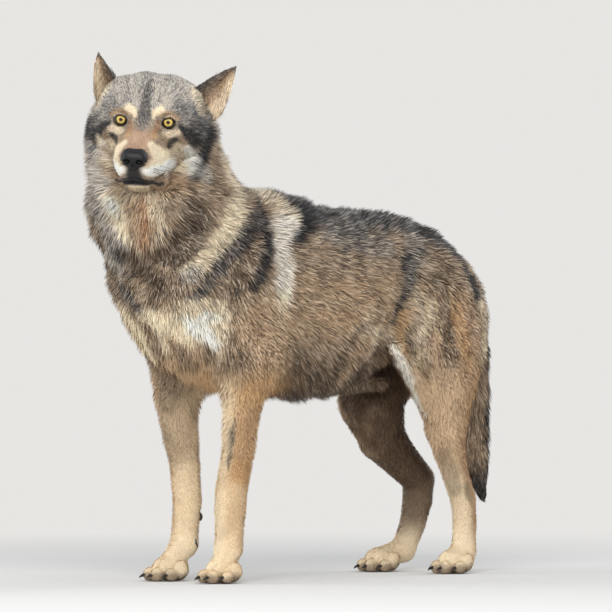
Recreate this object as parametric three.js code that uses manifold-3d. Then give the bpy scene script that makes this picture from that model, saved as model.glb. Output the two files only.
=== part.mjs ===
// A timber wolf standing with its head turned to its left, life-size, in millimetres.
// +Z is up, the wolf faces -Y and its left side is +X.
// The form is one smooth distance field out to the tips of the coat. It is sampled on grids,
// each part on a grid of its own, and parted by plane cuts with a thin gap.
import * as THREE from 'three';
import * as BufferGeometryUtils from 'three/addons/utils/BufferGeometryUtils.js';
import Module from 'manifold-3d';

const wasm = await Module();
wasm.setup();

// ---- Driving dimensions -------------------------------------------------------------------

const GAP = 0.3;          // clear space between neighbouring parts
const SINK_GAP = 0.8;     // clear space round a part that is let into another
const FAR = 3000;         // size of the blocks that cut
const WELD = 0.01;        // vertices nearer than this are one
const FACET = 0.15;       // how far a facet may stand off the form, as a share of its cell

const SIDES = { left: 1, right: -1 };

// Trunk stations from the fore chest to the rump: place along the back, top, bottom, half width.
const TRUNK = [
  [-165, 520, 450, 50],
  [-125, 570, 392, 90],
  [-50, 640, 340, 118],
  [50, 693, 316, 130],
  [150, 699, 308, 136],
  [235, 676, 306, 136],
  [300, 669, 318, 131],
  [370, 667, 345, 122],
  [460, 659, 392, 112],
  [550, 627, 412, 103],
  [630, 562, 430, 81],
  [680, 500, 445, 46],
];

// The head's own frame starts midway between the eyes: x to the left, f forward, z up.
const HEAD_ORIGIN = [50, -211, 803];
const HEAD_TURN = 37;     // degrees to the left of the body's line
const HEAD_NOD = 12.5;    // degrees nose down
const HEAD_TILT = 4;      // degrees, left eye low

// Upper muzzle and lower jaw stations, from the face forward: place, top, bottom, half width.
const MUZZLE = [
  [-34, 30, -84, 54],
  [0, 6, -88, 49],
  [30, -9, -90, 46],
  [60, -17, -88, 42],
  [84, -22, -84, 36],
  [104, -25, -77, 28],
  [118, -31, -62, 17],
];
const JAW = [
  [-60, -50, -114, 46],
  [-10, -60, -112, 38],
  [40, -66, -108, 33],
  [72, -68, -103, 27],
  [92, -72, -98, 17],
];

const EYE = { place: [41.5, -9, 0], radius: 12.5 };
const NOSE = { place: [0, 107, -43], radii: [23, 17, 19] };

// Ears: middle of the base, tip, direction across the base, half width of the base.
const EARS = {
  left: { base: [94, -90, 22], tip: [142, -114, 86], across: [51, -10, -61], half: 36 },
  right: { base: [-78, -88, 34], tip: [-99, -106, 97], across: [-21, 30, -12], half: 32 },
};

// Limbs and tail as chains of joints [x, y, z, radius], from the body down.
const LIMBS = {
  fore_left: {
    chain: [[84, 22, 400, 62], [80, 2, 330, 41], [76, -5, 235, 32], [74, -20, 165, 30],
      [74, -24, 125, 29], [73, -27, 60, 25]],
    paw: [71, -44], turn: 0,
  },
  fore_right: {
    chain: [[-84, 22, 400, 62], [-70, -14, 325, 44], [-66, -6, 250, 34], [-65, 3, 200, 29],
      [-65, 8, 140, 27], [-66, 2, 65, 25]],
    paw: [-66, -40], turn: -8,
  },
  hind_left: {
    chain: [[70, 530, 400, 62], [78, 527, 342, 60], [80, 527, 265, 42], [81, 535, 222, 31],
      [80, 553, 180, 26], [80, 574, 135, 25], [80, 578, 90, 23], [80, 575, 40, 23]],
    paw: [80, 546], turn: 0,
  },
  hind_right: {
    chain: [[-70, 520, 400, 64], [-76, 494, 312, 64], [-77, 525, 245, 47], [-75, 572, 205, 37],
      [-74, 620, 168, 31], [-74, 618, 130, 29], [-74, 604, 85, 25], [-74, 578, 38, 23]],
    paw: [-74, 515], turn: -4,
  },
};
const TAIL = [[0, 625, 530, 40], [2, 668, 470, 39], [4, 680, 390, 38], [5, 680, 290, 37],
  [6, 686, 200, 32], [8, 706, 136, 9]];
const TAIL_TIP = 10;      // how far the tip stands past the last joint

// Toes of a paw in its own frame: x, y and radius. The claw grows from the front of each.
const TOES = [[-29, -5, 10.5], [-10.5, -23, 11.5], [10.5, -23, 11.5], [29, -5, 10.5]];
const TOE_HEIGHT = 12.5;
const CLAW = { length: 15, drop: 5, radius: 3.6 };

// Folds of the flank, given for the left side: the fold of skin before the thigh stands out, and
// the crease behind the ribs and the hollow under the flank are let in.
const FOLD = [[70, 485, 330, 26], [90, 375, 418, 20]];
const CREASE = [[134, 388, 560, 22], [128, 356, 440, 24]];
const HOLLOW = [[95, 293, 306, 34], [95, 356, 391, 34]];
const SHEATH = [[0, 330, 352, 26], [0, 440, 348, 20]];

// Where the plane cuts run. Those of the head are in its own frame.
const CUTS = {
  nape: { place: [0, -128, 0], normal: [0, 0.93, 0.37] },
  throat: { place: [0, 45, -111], normal: [0, -0.12, 1] },
  brow: { place: [0, -42, 0], normal: [0, 1, 0] },
  face: { place: [0, 24, 0], normal: [0, 1, 0] },
  mouth: { place: [0, 45, -86.5], normal: [0, -0.12, 1] },
  neck: { place: [0, -60, 610], normal: [0, -0.72, 0.69] },
  chestBack: 245, loinBack: 375, thighTop: 425, elbow: 388, elbowInner: 34, elbowBack: 140,
  forearm: { from: 290, to: 165, paw: 50 },
  hind: { knee: 268, hock: 172, paw: 48 },
};

// Size of a grid's cells for each part, one number or three along x, y and z.
const CELL = {
  head: 17.5, face: 10.5, muzzle: 11, nose: 9, neck: 24, trunk: [28, 36, 30],
  elbow: [18, 18, 22], forearm: [14, 14, 24], pastern: [13, 13, 24],
  thigh: [22, 24, 26], shank: [18, 18, 22], hock: [15, 15, 22], paw: 12,
};

// ---- Distance fields ----------------------------------------------------------------------

/** The lower of two distances, blended over a width k. */
function smoothMin(a, b, k) {
  const h = Math.max(k - Math.abs(a - b), 0) / k;
  return Math.min(a, b) - (h * h * k) / 4;
}

/** The higher of two distances, blended over a width k. */
function smoothMax(a, b, k) {
  return -smoothMin(-a, -b, k);
}

/** Distance to an ellipsoid. The optional frame is a Matrix3 whose columns are its axes. */
function egg(p, centre, radii, axes = null) {
  let q = [p[0] - centre[0], p[1] - centre[1], p[2] - centre[2]];
  if (axes) q = intoAxes(q, axes);
  const k0 = Math.hypot(q[0] / radii[0], q[1] / radii[1], q[2] / radii[2]);
  const k1 = Math.hypot(q[0] / radii[0] ** 2, q[1] / radii[1] ** 2, q[2] / radii[2] ** 2);
  return (k0 * (k0 - 1)) / (k1 + 1e-9);
}

/** Distance to a round bar between two joints [x, y, z, radius]. */
function bar(p, a, b) {
  const d = [b[0] - a[0], b[1] - a[1], b[2] - a[2]];
  const q = [p[0] - a[0], p[1] - a[1], p[2] - a[2]];
  const along = (q[0] * d[0] + q[1] * d[1] + q[2] * d[2]) / (d[0] ** 2 + d[1] ** 2 + d[2] ** 2);
  const t = Math.min(Math.max(along, 0), 1);
  return Math.hypot(q[0] - t * d[0], q[1] - t * d[1], q[2] - t * d[2]) - a[3] - (b[3] - a[3]) * t;
}

/** Distance to a chain of round bars. */
function chain(p, joints) {
  let d = Infinity;
  for (let i = 0; i + 1 < joints.length; i += 1) {
    const next = bar(p, joints[i], joints[i + 1]);
    d = d === Infinity ? next : smoothMin(d, next, 3);
  }
  return d;
}

/** One column of a station table at place s: a cubic through the stations. */
function station(table, s, column) {
  const last = table.length - 1;
  let i = 0;
  while (i < last - 1 && s > table[i + 1][0]) i += 1;
  const slope = (j) => {
    const [a, b] = [Math.max(j - 1, 0), Math.min(j + 1, last)];
    if (a === j || b === j) return (table[b][column] - table[a][column]) / (table[b][0] - table[a][0]);
    const before = table[j][0] - table[a][0];
    const after = table[b][0] - table[j][0];
    const down = (table[j][column] - table[a][column]) / before;
    const up = (table[b][column] - table[j][column]) / after;
    return (after * down + before * up) / (before + after);
  };
  const h = table[i + 1][0] - table[i][0];
  const t = Math.min(Math.max((s - table[i][0]) / h, 0), 1);
  const [t2, t3] = [t * t, t * t * t];
  return (2 * t3 - 3 * t2 + 1) * table[i][column] + (t3 - 2 * t2 + t) * h * slope(i)
    + (3 * t2 - 2 * t3) * table[i + 1][column] + (t3 - t2) * h * slope(i + 1);
}

/** Distance to a body with a rounded section at every station. */
function loft(table, s, x, z, { power, share, cap }) {
  const top = station(table, s, 1);
  const bottom = station(table, s, 2);
  const half = station(table, s, 3);
  const middle = bottom + (top - bottom) * share;
  const reach = z > middle ? top - middle : middle - bottom;
  const section = (Math.abs(x) / half) ** power + (Math.abs(z - middle) / reach) ** power;
  const beyond = Math.max(table[0][0] - s, s - table[table.length - 1][0]);
  return smoothMax((section ** (1 / power) - 1) * Math.min(half, reach), beyond, cap);
}

/** Columns of a frame turned about Z, then X, then Y, in degrees. */
function axesOf(turn, nod = 0, tilt = 0) {
  const order = new THREE.Euler(
    THREE.MathUtils.degToRad(nod), THREE.MathUtils.degToRad(tilt), THREE.MathUtils.degToRad(turn),
    'ZXY',
  );
  return new THREE.Matrix3().setFromMatrix4(new THREE.Matrix4().makeRotationFromEuler(order));
}

/** A vector's components along the columns of a Matrix3. */
function intoAxes(q, axes) {
  const e = axes.elements;
  return [0, 3, 6].map((i) => q[0] * e[i] + q[1] * e[i + 1] + q[2] * e[i + 2]);
}

const headAxes = axesOf(HEAD_TURN, HEAD_NOD, HEAD_TILT);

/** World point into the head's frame (x left, f forward, z up). */
function intoHead(p) {
  const q = intoAxes(p.map((value, i) => value - HEAD_ORIGIN[i]), headAxes);
  return [q[0], -q[1], q[2]];
}

/** Head frame vector out to the world, as a THREE.Vector3. */
function headVector(v) {
  return new THREE.Vector3(v[0], -v[1], v[2]).applyMatrix3(headAxes);
}

/** Head frame point out to the world. */
function headPoint(v) {
  return headVector(v).add(new THREE.Vector3(...HEAD_ORIGIN));
}

function headField(p) {
  const q = intoHead(p);
  const m = [Math.abs(q[0]), q[1], q[2]];
  let d = egg(q, [0, -86, 4], [72, 84, 68]);                       // cranium
  d = smoothMin(d, egg(m, [46, -88, 18], [46, 58, 44]), 26);       // crown before the ears
  d = smoothMin(d, egg(m, [31, -24, 12], [32, 30, 27]), 24);       // brow ridges
  d = smoothMin(d, egg(m, [56, -56, -22], [44, 56, 44]), 26);      // cheekbone
  d = smoothMin(d, egg(m, [79, -88, -56], [46, 52, 72]), 35);      // cheek ruff
  d = smoothMin(d, egg(q, [0, -70, -85], [70, 58, 42]), 30);       // throat
  d = smoothMin(d, loft(MUZZLE, q[1], q[0], q[2], { power: 2.3, share: 0.32, cap: 16 }), 16);
  d = smoothMax(d, -egg(m, [44, 13, -1], [21, 20, 15]), 10);       // hollows of the eyes
  return smoothMin(d, loft(JAW, q[1], q[0], q[2], { power: 2.2, share: 0.5, cap: 12 }), 12);
}

/** A low dome with four toes before it, each a raised knuckle and a pad's end. */
function pawField(p, [x, y], turn) {
  const q = intoAxes([p[0] - x, p[1] - y, p[2]], axesOf(turn));
  let d = egg(q, [0, 12, 19], [29, 30, 22]);
  for (const [tx, ty, r] of TOES) {
    const knuckle = egg(q, [tx * 0.94, ty + 14, 21], [r, r * 1.5, r * 1.6]);
    const end = egg(q, [tx, ty - 7, TOE_HEIGHT], [r * 0.95, r * 1.35, r * 1.15]);
    d = smoothMin(d, smoothMin(knuckle, end, 6), 3);
  }
  return d;
}

/** A leg: its chain of joints, an instep down to the paw, and the paw. */
function limbField(p, { chain: joints, paw, turn }) {
  const instep = bar(p, joints[joints.length - 1], [...paw, 25, 19]);
  return smoothMin(smoothMin(chain(p, joints), instep, 8), pawField(p, paw, turn), 12);
}

/** A chain given for the left side, on the side asked for. */
function onSide(joints, side) {
  return joints.map(([x, ...rest]) => [x * side, ...rest]);
}

function bodyField(p) {
  let d = loft(TRUNK, p[1], p[0], p[2], { power: 2.25, share: 0.56, cap: 60 });
  for (const side of [1, -1]) {
    d = smoothMax(d, -chain(p, onSide(HOLLOW, side)), 16);
  }
  d = smoothMin(d, chain(p, SHEATH), 24);
  d = smoothMin(d, bar(p, [-6, -118, 758, 100], [0, -14, 560, 126]), 46);      // neck
  d = smoothMin(d, egg(p, [-16, -159, 662], [116, 89, 122]), 46);             // throat ruff
  d = smoothMin(d, egg(p, [-6, -112, 540], [108, 86, 110]), 50);              // fore chest
  for (const side of [1, -1]) {
    d = smoothMin(d, egg(p, [86 * side, 22, 470], [54, 96, 140]), 45);        // shoulder
  }
  const fore = smoothMin(limbField(p, LIMBS.fore_left), limbField(p, LIMBS.fore_right), 5);
  d = smoothMin(d, fore, 30);
  for (const side of [1, -1]) {
    d = smoothMin(d, egg(p, [66 * side, 535, 440], [57, 110, 136], axesOf(0, 14)), 40); // thigh
    d = smoothMin(d, chain(p, onSide(FOLD, side)), 24);
    d = smoothMax(d, -chain(p, onSide(CREASE, side)), 20);
  }
  const hind = smoothMin(limbField(p, LIMBS.hind_left), limbField(p, LIMBS.hind_right), 5);
  return smoothMin(d, hind, 28);
}

const wolfField = (p) => smoothMin(bodyField(p), headField(p), 20);

// ---- Solids -------------------------------------------------------------------------------

/** Surface of a field's zero, sampled in a box of cells laid along the given axes. */
function fieldGeometry(field, { low, high, cell, origin = [0, 0, 0], axes = null }) {
  const step = Array.isArray(cell) ? cell : [cell, cell, cell];
  const count = [0, 1, 2].map((i) => Math.ceil((high[i] - low[i]) / step[i]) + 1);
  const frame = new THREE.Matrix4();
  if (axes) frame.setFromMatrix3(axes);
  frame.setPosition(...origin);
  const at = (i, j, k) => (i * count[1] + j) * count[2] + k;
  const value = new Float64Array(count[0] * count[1] * count[2]);
  const point = new THREE.Vector3();
  for (let i = 0; i < count[0]; i += 1) {
    for (let j = 0; j < count[1]; j += 1) {
      for (let k = 0; k < count[2]; k += 1) {
        const rim = [i, j, k].some((n, axis) => n === 0 || n === count[axis] - 1);
        point.set(low[0] + i * step[0], low[1] + j * step[1], low[2] + k * step[2]).applyMatrix4(frame);
        const d = field([point.x, point.y, point.z]);
        value[at(i, j, k)] = rim ? Math.max(d, 0.5) : d;
      }
    }
  }
  const { positions, cells } = netVertices(value, count, at, low, step);
  const index = netFaces(value, count, at, cells, positions);
  const geometry = new THREE.BufferGeometry();
  geometry.setAttribute('position', new THREE.Float32BufferAttribute(positions, 3));
  geometry.setIndex(index);
  return geometry.applyMatrix4(frame);
}

/** One vertex in each cell that the surface crosses, at the mean of its edge crossings. */
function netVertices(value, count, at, low, step) {
  const positions = [];
  const cells = new Map();
  for (let i = 0; i + 1 < count[0]; i += 1) {
    for (let j = 0; j + 1 < count[1]; j += 1) {
      for (let k = 0; k + 1 < count[2]; k += 1) {
        const sum = [0, 0, 0];
        let crossings = 0;
        for (let corner = 0; corner < 8; corner += 1) {
          const c = [corner & 1, (corner >> 1) & 1, (corner >> 2) & 1];
          const a = value[at(i + c[0], j + c[1], k + c[2])];
          for (let axis = 0; axis < 3; axis += 1) {
            if (c[axis]) continue;
            const e = [...c];
            e[axis] = 1;
            const b = value[at(i + e[0], j + e[1], k + e[2])];
            if (a < 0 === b < 0) continue;
            const t = a / (a - b);
            for (let n = 0; n < 3; n += 1) sum[n] += c[n] + (n === axis ? t : 0);
            crossings += 1;
          }
        }
        if (!crossings) continue;
        cells.set(at(i, j, k), positions.length / 3);
        const place = [i, j, k].map((n, axis) => low[axis] + (n + sum[axis] / crossings) * step[axis]);
        positions.push(...place);
      }
    }
  }
  return { positions, cells };
}

/** Two triangles for each grid edge that the surface crosses, split along the shorter diagonal. */
function netFaces(value, count, at, cells, positions) {
  const index = [];
  const spread = (a, b) => Math.hypot(
    positions[3 * a] - positions[3 * b],
    positions[3 * a + 1] - positions[3 * b + 1],
    positions[3 * a + 2] - positions[3 * b + 2],
  );
  for (let i = 0; i + 1 < count[0]; i += 1) {
    for (let j = 0; j + 1 < count[1]; j += 1) {
      for (let k = 0; k + 1 < count[2]; k += 1) {
        for (let axis = 0; axis < 3; axis += 1) {
          if ([i, j, k].some((n, other) => other !== axis && n === 0)) continue;
          const next = [i, j, k];
          next[axis] += 1;
          const inside = value[at(i, j, k)] < 0;
          if (inside === value[at(...next)] < 0) continue;
          const [u, w] = [(axis + 1) % 3, (axis + 2) % 3];
          const ring = [[0, 0], [1, 0], [1, 1], [0, 1]].map(([du, dw]) => {
            const c = [i, j, k];
            c[u] -= du;
            c[w] -= dw;
            return cells.get(at(...c));
          });
          if (!inside) ring.reverse();
          const [a, b, c, d] = ring;
          if (spread(a, c) < spread(b, d)) index.push(a, b, c, a, c, d);
          else index.push(a, b, d, b, c, d);
        }
      }
    }
  }
  return index;
}

/** The geometry with vertices nearer than WELD made one and the faces that vanish dropped. */
function welded(geometry) {
  const plain = new THREE.BufferGeometry();
  plain.setAttribute('position', geometry.getAttribute('position').clone());
  if (geometry.index) plain.setIndex(geometry.index.clone());
  const merged = BufferGeometryUtils.mergeVertices(plain, WELD);
  const index = [];
  for (let i = 0; i < merged.index.count; i += 3) {
    const [a, b, c] = [0, 1, 2].map((n) => merged.index.getX(i + n));
    if (a !== b && b !== c && c !== a) index.push(a, b, c);
  }
  merged.setIndex(index);
  return merged;
}

/** A closed geometry as a solid that can be joined and cut. */
function solidOf(geometry) {
  const merged = welded(geometry);
  return new wasm.Manifold(new wasm.Mesh({
    numProp: 3,
    vertProperties: new Float32Array(merged.getAttribute('position').array),
    triVerts: new Uint32Array(merged.index.array),
  }));
}

/** A solid back to a geometry, keeping only its largest body. */
function geometryOf(solid) {
  const bodies = solid.decompose().sort((a, b) => b.volume() - a.volume());
  const mesh = bodies[0].simplify(WELD).getMesh();
  const geometry = new THREE.BufferGeometry();
  geometry.setAttribute('position', new THREE.Float32BufferAttribute(mesh.vertProperties, 3));
  geometry.setIndex(Array.from(mesh.triVerts));
  return welded(geometry);
}

/** A huge block whose one face runs clear of a point; normal points into the block. */
function beyond(point, normal, clear = GAP / 2) {
  const n = new THREE.Vector3(...normal).normalize();
  const block = new THREE.BoxGeometry(FAR, FAR, FAR);
  const turn = new THREE.Quaternion().setFromUnitVectors(new THREE.Vector3(0, 0, 1), n);
  block.applyQuaternion(turn);
  const centre = new THREE.Vector3(...point).addScaledVector(n, FAR / 2 + clear);
  return solidOf(block.translate(centre.x, centre.y, centre.z));
}

/** A block between two corners, grown all round by grow. */
function block(low, high, grow) {
  const size = [0, 1, 2].map((i) => high[i] - low[i] + 2 * grow);
  const centre = [0, 1, 2].map((i) => (high[i] + low[i]) / 2);
  return solidOf(new THREE.BoxGeometry(...size).translate(...centre));
}

/** Whether some edge has more than two faces, as where two sheets meet in one cell. */
function hasDoubleEdge({ index }) {
  const uses = new Map();
  for (let i = 0; i < index.count; i += 3) {
    for (const [m, n] of [[0, 1], [1, 2], [2, 0]]) {
      const ends = [index.getX(i + m), index.getX(i + n)].sort((a, b) => a - b).join();
      uses.set(ends, (uses.get(ends) ?? 0) + 1);
    }
  }
  return [...uses.values()].some((count) => count > 2);
}

/** A field's solid; the grid is moved a little at a time until no cell holds two sheets. */
function fieldSolid(field, grid) {
  const step = Array.isArray(grid.cell) ? grid.cell : [grid.cell, grid.cell, grid.cell];
  for (let tries = 0; tries < 24; tries += 1) {
    const shift = step.map((size, axis) => (size * ((tries * (axis + 2)) % 7)) / 7);
    const low = grid.low.map((value, axis) => value - shift[axis]);
    const geometry = welded(fieldGeometry(field, { ...grid, low }));
    if (!hasDoubleEdge(geometry)) return solidOf(geometry);
  }
  throw new Error('no grid gives one closed surface');
}

/** The wolf's field sampled in a box, as a solid that is cut back to the given blocks. */
function flesh(low, high, cell, keep, remove = []) {
  let solid = fieldSolid(wolfField, { low, high, cell }).simplify(FACET * Math.min(...[cell].flat()));
  for (const tool of keep) solid = solid.intersect(tool);
  for (const tool of remove) solid = solid.subtract(tool);
  return solid;
}

/** A closed skin over rings of points, with a pole at each end; faces point outwards. */
function ringedGeometry(rings, first, last) {
  const sides = rings[0].length;
  const points = [...rings.flat(), first, last];
  const [firstAt, lastAt] = [points.length - 2, points.length - 1];
  const index = [];
  for (let j = 0; j < sides; j += 1) {
    const next = (j + 1) % sides;
    index.push(firstAt, next, j);
    for (let i = 0; i + 1 < rings.length; i += 1) {
      const [a, b] = [i * sides + j, i * sides + next];
      index.push(a, b, b + sides, a, b + sides, a + sides);
    }
    index.push((rings.length - 1) * sides + j, (rings.length - 1) * sides + next, lastAt);
  }
  const geometry = new THREE.BufferGeometry().setFromPoints(points);
  geometry.setIndex(index);
  return geometry;
}

/** A curved horn: rings of a shrinking circle along a line that bends down to a point. */
function hornGeometry(root, forward, { length, drop, radius }) {
  const sides = 5;
  const rows = 2;
  const side = new THREE.Vector3(0, 0, 1).cross(forward).normalize();
  const rings = Array.from({ length: rows }, (_, i) => {
    const t = i / rows;
    const r = radius * Math.sqrt(1 - t);
    return Array.from({ length: sides }, (__, j) => {
      const angle = (2 * Math.PI * j) / sides;
      const v = root.clone().addScaledVector(forward, length * t);
      v.addScaledVector(side, 0.7 * r * Math.cos(angle));
      v.z += r * Math.sin(angle) - drop * t * t;
      return v;
    });
  });
  const tip = root.clone().addScaledVector(forward, length);
  tip.z -= drop;
  return ringedGeometry(rings, root, tip);
}

// ---- Parts --------------------------------------------------------------------------------

const wolf = new THREE.Group();

const COAT = {
  grey: 0x6f675c, tan: 0x9a7f5f, cream: 0xcdbb9c, dark: 0x35302c, white: 0xd9d0c0,
};

function addPart(name, geometry, colour, roughness = 0.95) {
  const material = new THREE.MeshStandardMaterial({ color: colour, roughness, metalness: 0 });
  const mesh = new THREE.Mesh(geometry, material);
  mesh.name = name;
  wolf.add(mesh);
}

/** The frame of an ear: its origin, length and axes (across, face, along). */
function earFrame(ear) {
  const along = headVector(ear.tip).sub(headVector(ear.base));
  const length = along.length();
  along.normalize();
  const across = headVector(ear.across);
  across.addScaledVector(along, -across.dot(along)).normalize();
  const face = along.clone().cross(across);
  if (face.dot(headVector([0, 1, 0])) < 0) {
    across.negate();
    face.negate();
  }
  return { origin: headPoint(ear.base), length, axes: new THREE.Matrix3().set(
    across.x, face.x, along.x, across.y, face.y, along.y, across.z, face.z, along.z,
  ) };
}

/** A cupped leaf: rings bent along the cup, from the root in the head to the pointed tip. */
function earSolid(side, grow) {
  const { origin, length, axes } = earFrame(EARS[side]);
  const [sides, rows, root] = [12, 7, -0.42];
  const place = (t, angle) => {
    const rest = 1 - t;
    const drawn = (1 + 0.12 * Math.max(t, 0)) * (1 - 0.7 * Math.max(-t, 0));
    const width = EARS[side].half * Math.min(rest, 1) ** 0.8 * drawn;
    const thick = 2.5 + 3 * Math.min(rest, 1.2) + grow;
    const c = (width + grow) * Math.cos(angle);
    const cup = (c / 34) ** 2 * 15 - 12 * (1 - 0.8 * Math.max(t, 0));
    const point = new THREE.Vector3(c, cup + thick * Math.sin(angle), t * length);
    return point.applyMatrix3(axes).add(origin);
  };
  const middle = (t, beyondTip) => {
    const cup = -12 * (1 - 0.8 * Math.max(t, 0));
    return new THREE.Vector3(0, cup, t * length + beyondTip).applyMatrix3(axes).add(origin);
  };
  const rings = Array.from({ length: rows }, (_, i) => {
    const t = root + (0.985 - root) * Math.sin((Math.PI / 2) * (i / (rows - 1)));
    return Array.from({ length: sides }, (__, j) => place(t, (2 * Math.PI * j) / sides));
  });
  return solidOf(ringedGeometry(rings, middle(root, -grow), middle(1, grow)));
}

function noseSolid(grow) {
  const field = (p) => egg(intoHead(p), NOSE.place, NOSE.radii) - grow;
  const centre = headPoint(NOSE.place);
  return fieldSolid(field, {
    low: [-34, -30, -30], high: [34, 30, 30], cell: CELL.nose, origin: centre.toArray(), axes: headAxes,
  });
}

function eyeSolid(side, grow) {
  const centre = headPoint([EYE.place[0] * side, EYE.place[1], EYE.place[2]]);
  return solidOf(new THREE.SphereGeometry(EYE.radius + grow, 10, 7)
    .translate(centre.x, centre.y, centre.z));
}

/** A tube of rings along the tail's joints, closed by a pole at each end. */
function tailSolid(grow) {
  const [sides, rows] = [11, 10];
  const path = new THREE.CatmullRomCurve3(TAIL.map(([x, y, z]) => new THREE.Vector3(x, y, z)));
  const ring = (t) => {
    const place = t * (TAIL.length - 1);
    const i = Math.min(Math.floor(place), TAIL.length - 2);
    const radius = THREE.MathUtils.lerp(TAIL[i][3], TAIL[i + 1][3], place - i) + grow;
    const along = path.getTangent(t);
    const across = new THREE.Vector3(1, 0, 0).addScaledVector(along, -along.x).normalize();
    const up = along.clone().cross(across);
    return Array.from({ length: sides }, (_, j) => {
      const angle = (2 * Math.PI * j) / sides;
      return path.getPoint(t).addScaledVector(across, radius * Math.cos(angle))
        .addScaledVector(up, radius * Math.sin(angle));
    });
  };
  const pole = (t, out) => path.getPoint(t).addScaledVector(path.getTangent(t), out);
  const rings = Array.from({ length: rows + 1 }, (_, i) => ring(i / rows));
  return solidOf(ringedGeometry(rings, pole(0, -8 - grow), pole(1, TAIL_TIP + grow)));
}

/** The room that the head fills: in front of the nape and above the throat. */
function headBlock(clear) {
  const [nape, throat] = [CUTS.nape, CUTS.throat].map(({ place, normal }) => beyond(
    headPoint(place).toArray(), headVector(normal).toArray(), clear,
  ));
  return nape.intersect(throat);
}

/** Head, face, muzzle and lower jaw, with the eyes, ears and nose let into them. */
function buildHead() {
  const cut = ({ place, normal }, sign) => beyond(
    headPoint(place).toArray(), headVector(normal.map((value) => value * sign)).toArray(),
  );
  const room = headBlock(GAP / 2);
  const [low, high] = [[-120, -320, 630], [200, 0, 912]];
  const sunk = [
    earSolid('left', SINK_GAP), earSolid('right', SINK_GAP), eyeSolid(1, GAP), eyeSolid(-1, GAP),
    noseSolid(SINK_GAP),
  ];
  const piece = (name, cell, cuts, colour) => {
    addPart(name, geometryOf(flesh(low, high, cell, [room, ...cuts], sunk)), colour);
  };
  piece('head', CELL.head, [cut(CUTS.brow, -1)], COAT.grey);
  piece('face', CELL.face, [cut(CUTS.brow, 1), cut(CUTS.face, -1)], COAT.grey);
  piece('muzzle', CELL.muzzle, [cut(CUTS.face, 1), cut(CUTS.mouth, 1)], COAT.tan);
  piece('lower_jaw', CELL.muzzle, [cut(CUTS.face, 1), cut(CUTS.mouth, -1)], COAT.white);
  for (const [name, side] of Object.entries(SIDES)) {
    addPart(`ear_${name}`, geometryOf(earSolid(name, 0)), COAT.tan);
    addPart(`eye_${name}`, geometryOf(eyeSolid(side, 0)), 0xb98f35, 0.1);
  }
  addPart('nose', geometryOf(noseSolid(0)), 0x141416, 0.45);
}

/** Neck, chest, loin and rump, with room left for the head, the legs and the tail. */
function buildTrunk() {
  const { neck, chestBack, loinBack, thighTop } = CUTS;
  const tail = tailSolid(SINK_GAP);
  const elbows = Object.values(SIDES).map((side) => elbowBlock(side, GAP / 2));
  addPart('neck', geometryOf(flesh([-170, -320, 380], [190, 140, 912], CELL.neck, [
    beyond(neck.place, neck.normal),
  ], [headBlock(-GAP / 2)])), COAT.cream);
  addPart('chest', geometryOf(flesh([-190, -290, 250], [190, 300, 760], CELL.trunk, [
    beyond(neck.place, neck.normal.map((v) => -v)), beyond([0, chestBack, 0], [0, -1, 0]),
  ], elbows)), COAT.grey);
  addPart('loin', geometryOf(flesh([-190, 180, 240], [190, 440, 740], CELL.trunk, [
    beyond([0, chestBack, 0], [0, 1, 0]), beyond([0, loinBack, 0], [0, -1, 0]),
  ])), COAT.tan);
  addPart('rump', geometryOf(flesh([-180, 310, 360], [180, 760, 740], CELL.trunk, [
    beyond([0, loinBack, 0], [0, 1, 0]), beyond([0, 0, thighTop], [0, 0, 1]),
  ], [tail])), COAT.grey);
}

/** The block that an upper foreleg fills under the chest. */
function elbowBlock(side, grow) {
  const [inner, outer] = [CUTS.elbowInner * side, 300 * side];
  return block(
    [Math.min(inner, outer), -200, -100], [Math.max(inner, outer), CUTS.elbowBack, CUTS.elbow], grow,
  );
}

/** One leg, cut across into its named lengths and its paw with the four claws. */
function buildLeg(name, side, lengths, clear) {
  const limb = LIMBS[name];
  for (const { part, from, to, keep, remove = [] } of lengths) {
    const low = [side > 0 ? -30 : -180, clear[0], Math.max(to, 0) - 45];
    const high = [side > 0 ? 180 : 30, clear[1], from + 45];
    const cuts = [beyond([0, 0, from], [0, 0, -1]), beyond([0, 0, to], [0, 0, 1]), ...keep];
    addPart(`${part}_${name}`, geometryOf(flesh(low, high, CELL[part], cuts, remove)), COAT.tan);
  }
  buildPaw(name, limb, lengths[lengths.length - 1].to);
}

/** A paw, flat underneath, with four claws let into its toes. */
function buildPaw(name, { paw, turn }, top) {
  const axes = axesOf(turn);
  const out = new THREE.Vector3(0, -1, 0).applyMatrix3(axes);
  const claws = TOES.map(([x, y, r]) => {
    const root = new THREE.Vector3(x, y - r * 1.5, TOE_HEIGHT - 1).applyMatrix3(axes);
    return root.add(new THREE.Vector3(paw[0], paw[1], 0));
  });
  const seats = claws.map((root) => solidOf(hornGeometry(
    root.clone().addScaledVector(out, -GAP), out,
    { ...CLAW, length: CLAW.length + 3 * GAP, radius: CLAW.radius + 1.5 * GAP },
  )));
  const low = [paw[0] - 65, paw[1] - 75, -14];
  const high = [paw[0] + 65, paw[1] + 95, top + 30];
  const floor = beyond([0, 0, -GAP / 2], [0, 0, 1]);
  addPart(`paw_${name}`, geometryOf(flesh(low, high, CELL.paw, [
    floor, beyond([0, 0, top], [0, 0, -1]),
  ], seats)), COAT.cream);
  claws.forEach((root, i) => {
    addPart(`claw_${name}_${i + 1}`, hornGeometry(root, out, CLAW), COAT.dark, 0.5);
  });
}

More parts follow.
